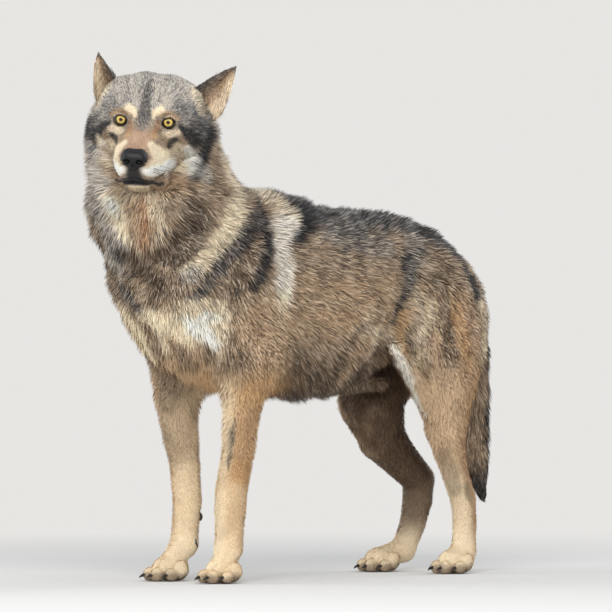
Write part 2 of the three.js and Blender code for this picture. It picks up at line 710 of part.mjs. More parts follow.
function buildLegs() {
  const tail = tailSolid(SINK_GAP);
  for (const [name, side] of Object.entries(SIDES)) {
    const { forearm, hind } = CUTS;
    const under = elbowBlock(side, -GAP / 2);
    const middle = beyond([0, 0, 0], [side, 0, 0]);
    const behind = beyond([0, CUTS.loinBack, 0], [0, 1, 0]);
    buildLeg(`fore_${name}`, side, [
      { part: 'elbow', from: CUTS.elbow, to: forearm.from, keep: [under] },
      { part: 'forearm', from: forearm.from, to: forearm.to, keep: [under] },
      { part: 'pastern', from: forearm.to, to: forearm.paw, keep: [under] },
    ], [-130, 190]);
    buildLeg(`hind_${name}`, side, [
      { part: 'thigh', from: CUTS.thighTop, to: hind.knee, keep: [middle, behind], remove: [tail] },
      { part: 'shank', from: hind.knee, to: hind.hock, keep: [middle], remove: [tail] },
      { part: 'hock', from: hind.hock, to: hind.paw, keep: [middle], remove: [tail] },
    ], [350, 760]);
  }
}

function buildTail() {
  const cut = [0, 0, 300];
  addPart('tail_root', geometryOf(tailSolid(0).intersect(beyond(cut, [0, 0, 1]))), COAT.grey);
  addPart('tail_tip', geometryOf(tailSolid(0).intersect(beyond(cut, [0, 0, -1]))), COAT.dark);
}

buildHead();
buildTrunk();
buildLegs();
buildTail();

// The origin is the middle of the bounding box on the floor.
const bounds = new THREE.Box3().setFromObject(wolf, true);
const middle = bounds.getCenter(new THREE.Vector3());
wolf.position.set(-middle.x, -middle.y, -bounds.min.z);
wolf.updateMatrixWorld(true);

export default wolf;
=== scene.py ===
"""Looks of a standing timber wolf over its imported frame.

The coat's outline is one smooth distance field, worked out in millimetres in the maker's axes: x to
the wolf's left, y back along the body, z up from the floor. The skin is the same form with each part
drawn in by the depth of its coat, and tufts of hair stand on the skin and reach out to the outline.
Skin and tufts take their colours from one set of markings. Finished meshes are in the row frame, in
metres.
"""

import logging
import math
from collections.abc import Callable
from dataclasses import dataclass, field, replace
from enum import Enum
from functools import reduce

import bpy
import numpy as np
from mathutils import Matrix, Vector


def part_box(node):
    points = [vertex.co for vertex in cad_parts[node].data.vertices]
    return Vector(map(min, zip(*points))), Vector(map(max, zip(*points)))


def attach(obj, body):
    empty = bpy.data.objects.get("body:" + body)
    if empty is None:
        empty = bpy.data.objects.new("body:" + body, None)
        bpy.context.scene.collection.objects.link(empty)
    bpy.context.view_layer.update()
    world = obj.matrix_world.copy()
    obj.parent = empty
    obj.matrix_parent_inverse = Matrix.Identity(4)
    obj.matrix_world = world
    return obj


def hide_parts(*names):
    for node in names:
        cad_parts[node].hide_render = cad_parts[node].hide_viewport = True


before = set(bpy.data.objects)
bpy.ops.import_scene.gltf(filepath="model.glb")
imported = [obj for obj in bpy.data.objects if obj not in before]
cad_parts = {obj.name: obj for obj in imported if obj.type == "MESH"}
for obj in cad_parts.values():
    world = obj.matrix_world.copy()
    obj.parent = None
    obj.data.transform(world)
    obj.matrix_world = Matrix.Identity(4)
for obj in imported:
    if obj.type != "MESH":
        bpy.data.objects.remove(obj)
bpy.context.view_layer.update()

Array = np.ndarray
Field = Callable[[Array], Array]
Point = tuple[float, float, float]
LOG = logging.getLogger("wolf")
MM = 0.001  # metres in a millimetre
BODY = "root"
SIDES = {"left": 1, "right": -1}
PAWS = ("fore_left", "fore_right", "hind_left", "hind_right")


# ---- Arithmetic of soft forms ----


def smooth_min(a: Array, b: Array, width: float) -> Array:
    """The lower of two distances, blended where they differ by less than width."""
    share = np.maximum(width - np.abs(a - b), 0) / width
    return np.minimum(a, b) - share * share * width / 4


def smooth_max(a: Array, b: Array, width: float) -> Array:
    """The higher of two distances, blended where they differ by less than width."""
    return -smooth_min(-a, -b, width)


def ramp(value: Array, low: float, high: float) -> Array:
    """0 at low, 1 at high, and 3t squared less 2t cubed between; high may be the lower."""
    t = np.clip((value - low) / (high - low), 0, 1)
    return t * t * (3 - 2 * t)


def unit(vectors: Array) -> Array:
    """Each row divided by its length."""
    return vectors / (np.linalg.norm(vectors, axis=-1, keepdims=True) + 1e-9)


def folded(p: Array) -> Array:
    """Points with x made positive, so that shapes on the left serve both sides."""
    return np.concatenate([np.abs(p[:, :1]), p[:, 1:]], 1)


def axes_of(turn: float, nod: float = 0.0, tilt: float = 0.0) -> Array:
    """Columns of a frame turned about z, then x, then y.

    Args:
        turn: Degrees about z.
        nod: Degrees about the turned x.
        tilt: Degrees about the turned y.

    Returns:
        A 3 by 3 rotation whose columns are the turned axes.
    """
    a, b, c = (math.radians(angle) for angle in (turn, nod, tilt))
    about_z = np.array([[math.cos(a), -math.sin(a), 0], [math.sin(a), math.cos(a), 0], [0, 0, 1]])
    about_x = np.array([[1, 0, 0], [0, math.cos(b), -math.sin(b)], [0, math.sin(b), math.cos(b)]])
    about_y = np.array([[math.cos(c), 0, math.sin(c)], [0, 1, 0], [-math.sin(c), 0, math.cos(c)]])
    return about_z @ about_x @ about_y


def egg(p: Array, centre: Point, radii: Point, axes: Array | None = None) -> Array:
    """Distance to an ellipsoid: k0 (k0 - 1) / k1, with k0 and k1 the lengths of q / r and q / r^2.

    Args:
        p: Points, one a row.
        centre: Middle of the ellipsoid.
        radii: Its half axes.
        axes: Columns of its own frame, or None.

    Returns:
        A distance for each point, less than 0 inside.
    """
    q = p - np.asarray(centre, p.dtype)
    if axes is not None:
        q = q @ axes.astype(p.dtype)
    r = np.asarray(radii, p.dtype)
    k0 = np.sqrt(np.square(q / r).sum(1))
    k1 = np.sqrt(np.square(q / (r * r)).sum(1)) + 1e-9
    return k0 * (k0 - 1) / k1


def bar(p: Array, a: tuple[float, ...], b: tuple[float, ...]) -> Array:
    """Distance to a round bar between two joints.

    Args:
        p: Points, one a row.
        a: The first joint, as x, y, z and radius.
        b: The second joint.

    Returns:
        A distance for each point, less than 0 inside.
    """
    start, end = np.asarray(a[:3], p.dtype), np.asarray(b[:3], p.dtype)
    along = end - start
    q = p - start
    t = np.clip((q @ along) / (along @ along), 0, 1)
    reach = q - t[:, None] * along
    return np.sqrt(np.square(reach).sum(1)) - (a[3] + (b[3] - a[3]) * t)


def chain(p: Array, joints: tuple[tuple[float, ...], ...]) -> Array:
    """Distance to a chain of round bars, blended where they meet.

    Args:
        p: Points, one a row.
        joints: The chain's joints, as x, y, z and radius.

    Returns:
        A distance for each point, less than 0 inside.
    """
    distance = bar(p, joints[0], joints[1])
    for a, b in zip(joints[1:], joints[2:], strict=False):
        distance = smooth_min(distance, bar(p, a, b), 3)
    return distance


def station(table: Array, s: Array, column: int) -> Array:
    """One column of a station table at each place: a cubic through the stations.

    Args:
        table: Stations, one a row, with their places in the first column.
        s: Places.
        column: Which column.

    Returns:
        Its value at each place.
    """
    x, v = table[:, 0], table[:, column]
    slope = np.gradient(v, x)
    i = np.clip(np.searchsorted(x, s) - 1, 0, len(x) - 2)
    h = x[i + 1] - x[i]
    t = np.clip((s - x[i]) / h, 0, 1)
    t2, t3 = t * t, t * t * t
    near = (2 * t3 - 3 * t2 + 1) * v[i] + (t3 - 2 * t2 + t) * h * slope[i]
    return near + (3 * t2 - 2 * t3) * v[i + 1] + (t3 - t2) * h * slope[i + 1]


def loft(table: Array, p: Array, power: float, share: float, cap: float) -> Array:
    """Distance to a body with a superellipse section at every station along its second axis.

    Args:
        table: Stations of place, top, bottom and half width.
        p: Points whose columns are across, along and up.
        power: Exponent of the section.
        share: Height of the widest place, as a share of the section's height.
        cap: Width of the blend at both ends.

    Returns:
        A distance for each point.
    """
    across, along, up = p[:, 0], p[:, 1], p[:, 2]
    top, bottom, half = (station(table, along, column) for column in (1, 2, 3))
    middle = bottom + (top - bottom) * share
    reach = np.where(up > middle, top - middle, middle - bottom)
    section = (np.abs(across) / half) ** power + (np.abs(up - middle) / reach) ** power
    distance = (section ** (1 / power) - 1) * np.minimum(half, reach)
    beyond = np.maximum(table[0, 0] - along, along - table[-1, 0])
    return smooth_max(distance, beyond, cap)


def ripple(p: Array, size: float, seed: int) -> Array:
    """Soft noise between about -1 and 1: the mean of six sine waves in scattered directions.

    Args:
        p: Points, one a row.
        size: Length of about one lump.
        seed: Which set of waves.

    Returns:
        A value for each point.
    """
    waves = np.random.default_rng(seed)
    directions = unit(waves.normal(size=(6, 3))) * waves.uniform(0.7, 1.5, (6, 1))
    phases = waves.uniform(0, 2 * math.pi, 6)
    return np.sin(p @ directions.T * (2.4 / size) + phases).mean(1) * 1.8


# ---- The form ----


@dataclass(frozen=True)
class HeadFrame:
    """The head's own frame, from midway between the eyes: x left, f forward, z up."""

    origin: Point = (50, -211, 803)
    turn: float = 37.0
    nod: float = 12.5
    tilt: float = 4.0

    @property
    def axes(self) -> Array:
        """Columns: the head's left, back and up."""
        return axes_of(self.turn, self.nod, self.tilt)

    def into(self, p: Array) -> Array:
        """World points into the head's frame."""
        q = (p - np.asarray(self.origin, p.dtype)) @ self.axes.astype(p.dtype)
        q[:, 1] *= -1
        return q

    @staticmethod
    def ahead(q: Array) -> Array:
        """How far places in the head's frame lie forward, along the slope of its seam with the neck."""
        return q[:, 1] * 0.93 + q[:, 2] * 0.37

    def vector(self, v: Array) -> Array:
        """Head vectors out to the world."""
        return (np.asarray(v, float) * (1, -1, 1)) @ self.axes.T

    def out(self, v: Array) -> Array:
        """Head points out to the world."""
        return self.vector(v) + np.asarray(self.origin, float)


HEAD = HeadFrame()
HEAD_BALL = 260.0  # radius round the head's origin that holds all of the head


def up_neck(p: Array) -> Array:
    """How far points lie up the neck from its seam with the chest."""
    return (p[:, 2] - 610) * 0.69 - (p[:, 1] + 60) * 0.72


@dataclass(frozen=True)
class Limb:
    """A leg: its joints from the body down (x, y, z, radius), and its paw's middle and turn."""

    joints: tuple[tuple[float, float, float, float], ...]
    paw: tuple[float, float]
    turn: float


LIMBS = {
    "fore_left": Limb(
        ((84, 22, 400, 62), (80, 2, 330, 41), (76, -5, 235, 32), (74, -20, 165, 30),
         (74, -24, 125, 29), (73, -27, 60, 25)),
        (71, -44), 0,
    ),
    "fore_right": Limb(
        ((-84, 22, 400, 62), (-70, -14, 325, 44), (-66, -6, 250, 34), (-65, 3, 200, 29),
         (-65, 8, 140, 27), (-66, 2, 65, 25)),
        (-66, -40), -8,
    ),
    "hind_left": Limb(
        ((70, 530, 400, 62), (78, 527, 342, 60), (80, 527, 265, 42), (81, 535, 222, 31),
         (80, 553, 180, 26), (80, 574, 135, 25), (80, 578, 90, 23), (80, 575, 40, 23)),
        (80, 546), 0,
    ),
    "hind_right": Limb(
        ((-70, 520, 400, 64), (-76, 494, 312, 64), (-77, 525, 245, 47), (-75, 572, 205, 37),
         (-74, 620, 168, 31), (-74, 618, 130, 29), (-74, 604, 85, 25), (-74, 578, 38, 23)),
        (-74, 515), -4,
    ),
}
# Each toe's place on its paw, x and y, and its radius.
TOES = ((-29, -5, 10.5), (-10.5, -23, 11.5), (10.5, -23, 11.5), (29, -5, 10.5))
TOE_HEIGHT = 12.5
# Joints as x, y, z and radius: the fold of skin before the thigh, the crease behind the ribs, the
# hollow under the flank, the sheath, and the tail.
FOLD = ((70, 485, 330, 26), (90, 375, 418, 20))
CREASE = ((134, 388, 560, 22), (128, 356, 440, 24))
HOLLOW = ((95, 293, 306, 34), (95, 356, 391, 34))
SHEATH = ((0, 330, 352, 26), (0, 440, 348, 20))
TAIL = (
    (0, 625, 530, 40), (2, 668, 470, 39), (4, 680, 390, 38), (5, 680, 290, 37), (6, 686, 200, 32),
    (8, 706, 136, 9),
)
# Stations of trunk, upper muzzle and lower jaw: place along, top, bottom and half width.
TRUNK = np.array([
    [-165, 520, 450, 50], [-125, 570, 392, 90], [-50, 640, 340, 118], [50, 693, 316, 130],
    [150, 699, 308, 136], [235, 676, 306, 136], [300, 669, 318, 131], [370, 667, 345, 122],
    [460, 659, 392, 112], [550, 627, 412, 103], [630, 562, 430, 81], [680, 500, 445, 46],
], float)
MUZZLE = np.array([
    [-34, 30, -84, 54], [0, 6, -88, 49], [30, -9, -90, 46], [60, -17, -88, 42],
    [84, -22, -84, 36], [104, -25, -77, 28], [118, -31, -62, 17],
], float)
JAW = np.array([
    [-60, -50, -114, 46], [-10, -60, -112, 38], [40, -66, -108, 33], [72, -68, -103, 27],
    [92, -72, -98, 17],
], float)


@dataclass(frozen=True)
class Form:
    """The wolf's form out to the coat's tips, or with each part drawn in to its skin.

    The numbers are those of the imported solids, in millimetres, but the grooves between the toes are
    a little shallower. An inset is 0 for the outline and 1 for the skin, and a distance is less than
    0 inside. The lips' joints are x, f, z and radius in the head's frame.
    """

    lips: tuple[tuple[float, ...], ...] = (
        (0, 91, -75, 6.5), (9, 88, -79, 6), (15, 81, -84, 6), (21, 59, -90, 6), (31, 35, -99, 6),
        (37, 29, -97, 6), (43, 25, -90, 5.5),
    )
    eye: Point = (41.5, -9, 0)
    eye_radius: float = 12.5
    head_reach: float = 330.0

    def outline(self, p: Array) -> Array:
        """Distance to the coat's outline at each point."""
        return self._whole(p, 0.0)

    def skin(self, p: Array) -> Array:
        """Distance to the skin at each point; the soles stay at the floor."""
        return smooth_max(self._whole(p, 1.0), 0.4 - p[:, 2], 3)

    def _whole(self, p: Array, inset: float) -> Array:
        """The joined field, with inset times each part's depth of coat added.

        Args:
            p: Points in the maker's axes.
            inset: From 0 to 1, outline to skin.

        Returns:
            A distance for each point.
        """
        p = p.astype(np.float32, copy=False)
        distance = self._body(p, inset)
        near = np.square(p - np.float32(HEAD.origin)).sum(1) < self.head_reach**2
        if near.any():
            head = self.head(HEAD.into(p[near]), inset)
            distance[near] = smooth_min(distance[near], head, 20)
        return distance

    def head(self, q: Array, inset: float) -> Array:
        """Distance to the head, with lips, and lids over the eyes, when it is drawn in to the skin.

        Args:
            q: Points in the head's frame.
            inset: From 0 to 1, outline to skin.

        Returns:
            A distance for each point.
        """
        m = folded(q)
        d = egg(q, (0, -86, 4), (72, 84, 68))  # cranium
        d = smooth_min(d, egg(m, (46, -88, 18), (46, 58, 44)), 26)  # crown before the ears
        d = smooth_min(d, egg(m, (31, -24, 12), (32, 30, 27)), 24)  # brow ridges
        d = smooth_min(d, egg(m, (56, -56, -22), (44, 56, 44)), 26)  # cheekbones
        d = smooth_min(d, egg(m, (79, -88, -56), (46, 52, 72)) + 9 * inset, 35)  # cheek ruffs
        d = smooth_min(d, egg(q, (0, -70, -85), (70, 58, 42)) + 6 * inset, 30)  # throat
        d = smooth_min(d, loft(MUZZLE, q, 2.3, 0.32, 16), 16)
        d = smooth_max(d, -egg(m, (44, 13, -1), (21, 20, 15)), 10)  # hollows of the eyes
        d = smooth_min(d, loft(JAW, q, 2.2, 0.5, 12) + 3.2 * inset, 12 - 7 * inset)
        if inset:
            d = d + inset * self._head_depth(m)
            d = smooth_min(d, chain(m, self.lips), 5)
            d = smooth_min(d, egg(m, self.eye, (self.eye_radius - 0.9,) * 3), 5)
        return d

    @staticmethod
    def _head_depth(m: Array) -> Array:
        """Depth of the head's coat: thin on the muzzle, deeper on the crown, deepest on the cheeks.

        Args:
            m: Points in the head's frame, folded onto its left side.

        Returns:
            A depth for each point.
        """
        back = ramp(-m[:, 1], -30, 70)
        cheek = ramp(-egg(m, (88, -84, -62), (44, 52, 66)), -26, 14)
        return 1.7 + 7.5 * back + 12 * cheek

    def _body(self, p: Array, inset: float) -> Array:
        """Distance to trunk, neck, legs and tail.

        Args:
            p: Points in the maker's axes.
            inset: From 0 to 1, outline to skin.

        Returns:
            A distance for each point.
        """
        d = loft(TRUNK, p, 2.25, 0.56, 60) + 25 * inset
        d = smooth_max(d, 12 * inset - chain(folded(p), HOLLOW), 16)
        d = smooth_min(d, chain(p, SHEATH) + 10 * inset, 24)
        neck = bar(p, (-6, -118, 758, 100), (0, -14, 560, 126))
        d = smooth_min(d, neck + 34 * inset, 46)
        ruff = egg(p, (-16, -159, 662), (116, 89, 122))
        d = smooth_min(d, ruff + 38 * inset, 46)
        fore_chest = egg(p, (-6, -112, 540), (108, 86, 110))
        d = smooth_min(d, fore_chest + 30 * inset, 50)
        for side in SIDES.values():
            shoulder = egg(p, (86 * side, 22, 470), (54, 96, 140))
            d = smooth_min(d, shoulder + 20 * inset, 45)
        low = p[:, 2] < 640
        d[low] = self._legs(p[low], d[low], inset)
        return d

    def _legs(self, p: Array, d: Array, inset: float) -> Array:
        """Legs, the folds where they meet the trunk, and the tail, joined to the trunk.

        Args:
            p: Points in the maker's axes.
            d: Their distance to the trunk.
            inset: From 0 to 1, outline to skin.

        Returns:
            A distance for each point.
        """
        depth = (2.2 + 1.6 * ramp(p[:, 2], 40, 110) + 8 * ramp(p[:, 2], 130, 360)) * inset
        depth = depth * (0.15 + 0.85 * ramp(p[:, 2], 0, 12))
        fore = smooth_min(self._limb(p, "fore_left"), self._limb(p, "fore_right"), 5)
        d = smooth_min(d, fore + depth, 30)
        for side in SIDES.values():
            thigh = egg(p, (66 * side, 535, 440), (57, 110, 136), axes_of(0, 14))
            d = smooth_min(d, thigh + 15 * inset, 40)
        d = smooth_min(d, chain(folded(p), FOLD) + 9 * inset, 24)
        d = smooth_max(d, 20 * inset - chain(folded(p), CREASE), 20)
        hind = smooth_min(self._limb(p, "hind_left"), self._limb(p, "hind_right"), 5)
        d = smooth_min(d, hind + depth, 28)
        tail = chain(p, TAIL) + inset * (4 + 14 * ramp(p[:, 2], 120, 230))
        return smooth_min(d, tail, 12)

    @staticmethod
    def _limb(p: Array, name: str) -> Array:
        """Distance to one leg and its paw.

        Args:
            p: Points in the maker's axes.
            name: The leg's name.

        Returns:
            A distance for each point.
        """
        limb = LIMBS[name]
        q = (p - np.float32((*limb.paw, 0))) @ axes_of(limb.turn).astype(p.dtype)
        paw = egg(q, (0, 12, 19), (29, 30, 22))
        for x, y, r in TOES:
            toe = egg(q, (0.94 * x, y + 14, 21), (r, 1.5 * r, 1.6 * r))
            toe = smooth_min(toe, egg(q, (x, y - 7, TOE_HEIGHT), (0.95 * r, 1.35 * r, 1.15 * r)), 6)
            paw = smooth_min(paw, toe, 6.5)
        instep = bar(p, limb.joints[-1], (*limb.paw, 25, 19))
        return smooth_min(smooth_min(chain(p, limb.joints), instep, 8), paw, 12)


FORM = Form()


def row_offset() -> Array:
    """Where the maker's origin lies in the row frame, in millimetres, found from the left eye."""
    low, high = (np.asarray(corner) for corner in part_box("eye_left"))
    return (low + high) / 2 / MM - HEAD.out(np.array(FORM.eye))


OFFSET = row_offset()


def gradient(shape: Field, p: Array, step: float = 0.6) -> Array:
    """Slope of a field by central differences.

    Args:
        shape: The field.
        p: Points.
        step: How far each way to look.

    Returns:
        The slope along x, y and z at each point.
    """
    slopes = []
    for axis in range(3):
        move = np.zeros(3, p.dtype)
        move[axis] = step
        slopes.append((shape(p + move) - shape(p - move)) / (2 * step))
    return np.stack(slopes, 1)


def laid_on(shape: Field, p: Array, below: float = 0.0) -> Array:
    """Points moved along the slope onto a field's surface.

    Args:
        shape: The field.
        p: Points near its surface.
        below: How far inside the surface they are to lie.

    Returns:
        The moved points.
    """
    for _ in range(4):
        p = p - (shape(p)[:, None] + below) * unit(gradient(shape, p))
    return p


@dataclass
class Hide:
    """A surface in the maker's axes: points, faces of four corners, and outward normals."""

    points: Array
    quads: Array
    normals: Array

    @classmethod
    def of_field(cls, shape: Field, lattice: tuple[Array, Array, Array], reach: float) -> "Hide":
        """The zero surface of a field, by surface nets on a lattice of uneven spacing.

        One point lies in each cell that the surface crosses, at the mean of its edge crossings, and
        one face crosses each lattice edge whose ends differ in sign. Points are then moved along the
        slope onto the zero.

        Args:
            shape: The field.
            lattice: Places of the planes along x, y and z.
            reach: Width of the band round the surface that is worked out at full detail.

        Returns:
            The surface, facing outwards.
        """
        value = cls._sampled(shape, lattice, reach)
        inside = value < 0
        n = np.array(value.shape)
        corners = [(a, b, c) for a in (0, 1) for b in (0, 1) for c in (0, 1)]
        count = sum(
            inside[a : n[0] - 1 + a, b : n[1] - 1 + b, c : n[2] - 1 + c].astype(np.int8)
            for a, b, c in corners
        )
        active = (count > 0) & (count < 8)
        cells = np.argwhere(active)
        number = np.full(active.shape, -1, np.int64)
        number[active] = np.arange(len(cells))
        total = np.zeros((len(cells), 3))
        crossings = np.zeros(len(cells))
        at = {k: value[tuple((cells + k).T)] for k in corners}
        for k in corners:
            for axis in range(3):
                if k[axis]:
                    continue
                a, b = at[k], at[tuple(1 if i == axis else k[i] for i in range(3))]
                crossed = (a < 0) != (b < 0)
                t = np.where(crossed, a / np.where(crossed, a - b, 1), 0)
                place = np.tile(np.array(k, float), (len(cells), 1))
                place[:, axis] += t
                total += place * crossed[:, None]
                crossings += crossed
        share = total / crossings[:, None]
        low = np.stack([lattice[i][cells[:, i]] for i in range(3)], 1)
        high = np.stack([lattice[i][cells[:, i] + 1] for i in range(3)], 1)
        points = low + share * (high - low)
        quads = np.concatenate([cls._faces(inside, number, axis) for axis in range(3)])
        for _ in range(2):
            slope = gradient(shape, points)
            step = shape(points)[:, None] * slope / (np.square(slope).sum(1, keepdims=True) + 1e-6)
            points = points - np.clip(step, -1.5, 1.5)
        return cls(points, quads, unit(gradient(shape, points)))

    @staticmethod
    def _sampled(shape: Field, lattice: tuple[Array, Array, Array], reach: float) -> Array:
        """The field on the lattice: exact near the surface, and from a coarser lattice elsewhere.

        Args:
            shape: The field.
            lattice: Places of the planes along x, y and z.
            reach: Width of the exact band.

        Returns:
            The field at each crossing of the planes.
        """
        stride, batch = 4, 200000
        picks = [np.unique([*range(0, len(axis), stride), len(axis) - 1]) for axis in lattice]
        coarse_axes = [axis[pick] for axis, pick in zip(lattice, picks, strict=True)]
        coarse_points = np.stack(np.meshgrid(*coarse_axes, indexing="ij"), -1).reshape(-1, 3)
        coarse = shape(coarse_points).reshape([len(axis) for axis in coarse_axes])
        nearest = [
            np.abs(axis[:, None] - short[None, :]).argmin(1)
            for axis, short in zip(lattice, coarse_axes, strict=True)
        ]
        value = coarse[np.ix_(*nearest)].astype(np.float32)
        near = np.argwhere(np.abs(value) < reach)
        places = np.stack([lattice[i][near[:, i]] for i in range(3)], 1)
        parts = np.array_split(places, 1 + len(places) // batch)
        value[tuple(near.T)] = np.concatenate([shape(part) for part in parts])
        return value

    @staticmethod
    def _faces(inside: Array, number: Array, axis: int) -> Array:
        """The faces across the lattice edges that run along one axis.

        Args:
            inside: Whether each crossing of the lattice lies inside the surface.
            number: The number of each cell's point, or -1.
            axis: The axis, from 0 to 2.

        Returns:
            Faces of four corners.
        """
        n = inside.shape
        u, w = (axis + 1) % 3, (axis + 2) % 3
        low = [slice(1, n[i] - 1) if i != axis else slice(0, n[i] - 1) for i in range(3)]
        high = [slice(1, n[i] - 1) if i != axis else slice(1, n[i]) for i in range(3)]
        a, b = inside[tuple(low)], inside[tuple(high)]
        edges = np.argwhere(a != b)
        base = edges + np.array([int(i != axis) for i in range(3)])
        step = np.eye(3, dtype=int)
        back = (0 * step[u], step[u], step[u] + step[w], step[w])
        quads = np.stack([number[tuple((base - move).T)] for move in back], 1)
        turned = b[tuple(edges.T)]
        quads[turned] = quads[turned][:, ::-1]
        return quads

    @classmethod
    def of_grid(cls, points: Array, capped: bool = True) -> "Hide":
        """A surface over rings of points.

        Args:
            points: Array of rings by columns by 3, turning anticlockwise as seen from the last ring.
            capped: Whether a fan of faces closes each end.

        Returns:
            The surface with its own smooth normals.
        """
        rings, columns = points.shape[:2]
        column = np.arange(columns)
        after = (column + 1) % columns
        start = columns * np.arange(rings - 1)[:, None]
        quads = np.stack([start + column, start + after, start + columns + after,
                          start + columns + column], -1).reshape(-1, 4)
        flat = points.reshape(-1, 3)
        if capped:
            last = columns * (rings - 1)
            pole, far_pole = np.full(columns, len(flat)), np.full(columns, len(flat) + 1)
            near = np.stack([pole, after, column, pole], 1)
            far = np.stack([last + column, last + after, far_pole, last + column], 1)
            flat = np.concatenate([flat, [points[0].mean(0), points[-1].mean(0)]])
            quads = np.concatenate([quads, near, far])
        return cls(flat, quads, cls._corner_normals(flat, quads))

    @staticmethod
    def _corner_normals(points: Array, quads: Array) -> Array:
        """Normals at the points: the summed crosses of each face's diagonals, or of a triangle's sides.

        Args:
            points: Places.
            quads: Faces of four corners; a triangle's last corner is its first.

        Returns:
            A normal for each point.
        """
        a, b, c, d = (points[quads[:, corner]] for corner in range(4))
        triangle = (quads[:, 3] == quads[:, 0])[:, None]
        cross = np.where(triangle, np.cross(b - a, c - a), np.cross(c - a, d - b))
        total = np.zeros_like(points)
        for corner in range(4):
            np.add.at(total, quads[:, corner], cross)
        return unit(total)

    def joined(self, other: "Hide") -> "Hide":
        """This surface and another as one."""
        return Hide(
            np.concatenate([self.points, other.points]),
            np.concatenate([self.quads, other.quads + len(self.points)]),
            np.concatenate([self.normals, other.normals]),
        )

    def triangles(self) -> Array:
        """The faces as triangles, without the empty halves of three-cornered faces."""
        halves = np.concatenate([self.quads[:, [0, 1, 2]], self.quads[:, [0, 2, 3]]])
        return halves[(halves[:, 0] != halves[:, 2]) & (halves[:, 1] != halves[:, 2])]


@dataclass(frozen=True)
class Ear:
    """A cupped ear in the head's frame: a triangle with bowed sides, curved across.

    Its margin is 1 or -1, for the side across it that is its lower one.
    """

    base: Point
    tip: Point
    across: Point
    half: float
    margin: int

    @property
    def axes(self) -> Array:
        """Columns: across the ear, out of its hollow, and along it to the tip.

        Returns:
            A 3 by 3 rotation out of the ear's own frame into the world.
        """
        along = unit(HEAD.vector(np.subtract(self.tip, self.base)))
        across = HEAD.vector(np.array(self.across))
        across = unit(across - along * (across @ along))
        face = np.cross(along, across)
        if face @ HEAD.vector(np.array((0, 1, 0))) < 0:
            across, face = -across, -face
        return np.stack([across, face, along], 1)

    @property
    def length(self) -> float:
        """From the middle of the base to the tip."""
        return float(np.linalg.norm(np.subtract(self.tip, self.base)))

    def half_width(self, t: Array) -> Array:
        """Half width at t along the ear: the rest of it to the power 0.8, drawn in below the base."""
        drawn = (1 + 0.12 * np.maximum(t, 0)) * (1 - 0.7 * np.maximum(-t, 0))
        return self.half * np.minimum(1 - t, 1) ** 0.8 * drawn - 1.2

    def near(self, q: Array) -> Array:
        """How near places in the head's frame are to the ear's base: 1 at 24 mm, 0 at 62 mm."""
        return ramp(np.sqrt(np.square(q - np.array(self.base)).sum(1)), 62, 24)

    def shell(self) -> Hide:
        """The ear's skin: rings whose mid line is bowed back by (c / 34) squared, thinner to the tip.

        Returns:
            The shell, from below the head's skin up to the tip.
        """
        t = -0.42 + 1.41 * np.sin(np.linspace(0, math.pi / 2, 30))[:, None]
        angle = np.linspace(0, 2 * math.pi, 36, endpoint=False)[None, :]
        c = self.half_width(t) * np.cos(angle)
        thick = 1.1 + 2.2 * np.minimum(1 - t, 1.2)
        y = (c / 34) ** 2 * 15 - 12 * (1 - 0.8 * np.maximum(t, 0)) + thick * np.sin(angle)
        local = np.stack([c, y, t * self.length + 0 * c], -1)
        return Hide.of_grid(local @ self.axes.T + HEAD.out(np.array(self.base)))

    def into(self, p: Array) -> tuple[Array, Array]:
        """Places on the ear.

        Args:
            p: Points near it.

        Returns:
            How far across it each lies, from -1 to 1, and how far along it, from 0 to 1.
        """
        local = (p - HEAD.out(np.array(self.base))) @ self.axes
        t = local[:, 2] / self.length
        return local[:, 0] / np.maximum(self.half_width(np.minimum(t, 0.99)), 2), t


EARS = (
    Ear((94, -90, 22), (142, -114, 86), (51, -10, -61), 36, -1),
    Ear((-78, -88, 34), (-99, -106, 97), (-21, 30, -12), 32, 1),
)


# ---- Markings ----


class Pigment(Enum):
    """Colours of the coat and skin, as display values of red, green and blue."""

    BLACK = (26, 25, 28)
    CHARCOAL = (58, 56, 58)
    SLATE = (112, 109, 108)
    SILVER = (182, 178, 173)
    UMBER = (92, 75, 59)
    SEPIA = (66, 49, 36)
    FAWN = (146, 123, 99)
    TAN = (184, 152, 118)
    OCHRE = (198, 156, 108)
    RUST = (158, 108, 74)
    CINNAMON = (176, 143, 119)
    CREAM = (232, 215, 184)
    WHITE = (245, 239, 228)

    @property
    def shade(self) -> Array:
        """The colour from 0 to 1."""
        return np.array(self.value, float) / 255


@dataclass
class Paint:
    """Colours laid over a set of points, and how strongly their hairs are banded."""

    colour: Array
    tick: Array

    @classmethod
    def ground(cls, count: int, pigment: Pigment, tick: float) -> "Paint":
        """One colour all over."""
        return cls(np.tile(pigment.shade, (count, 1)), np.full(count, tick))

    def lay(self, mask: Array, pigment: Pigment, tick: float) -> None:
        """Mix a colour in where the mask says."""
        self.colour += (pigment.shade - self.colour) * mask[:, None]
        self.tick += (tick - self.tick) * mask

    def joined(self, other: "Paint") -> "Paint":
        """This paint and another as one."""
        return Paint(
            np.concatenate([self.colour, other.colour]), np.concatenate([self.tick, other.tick])
        )


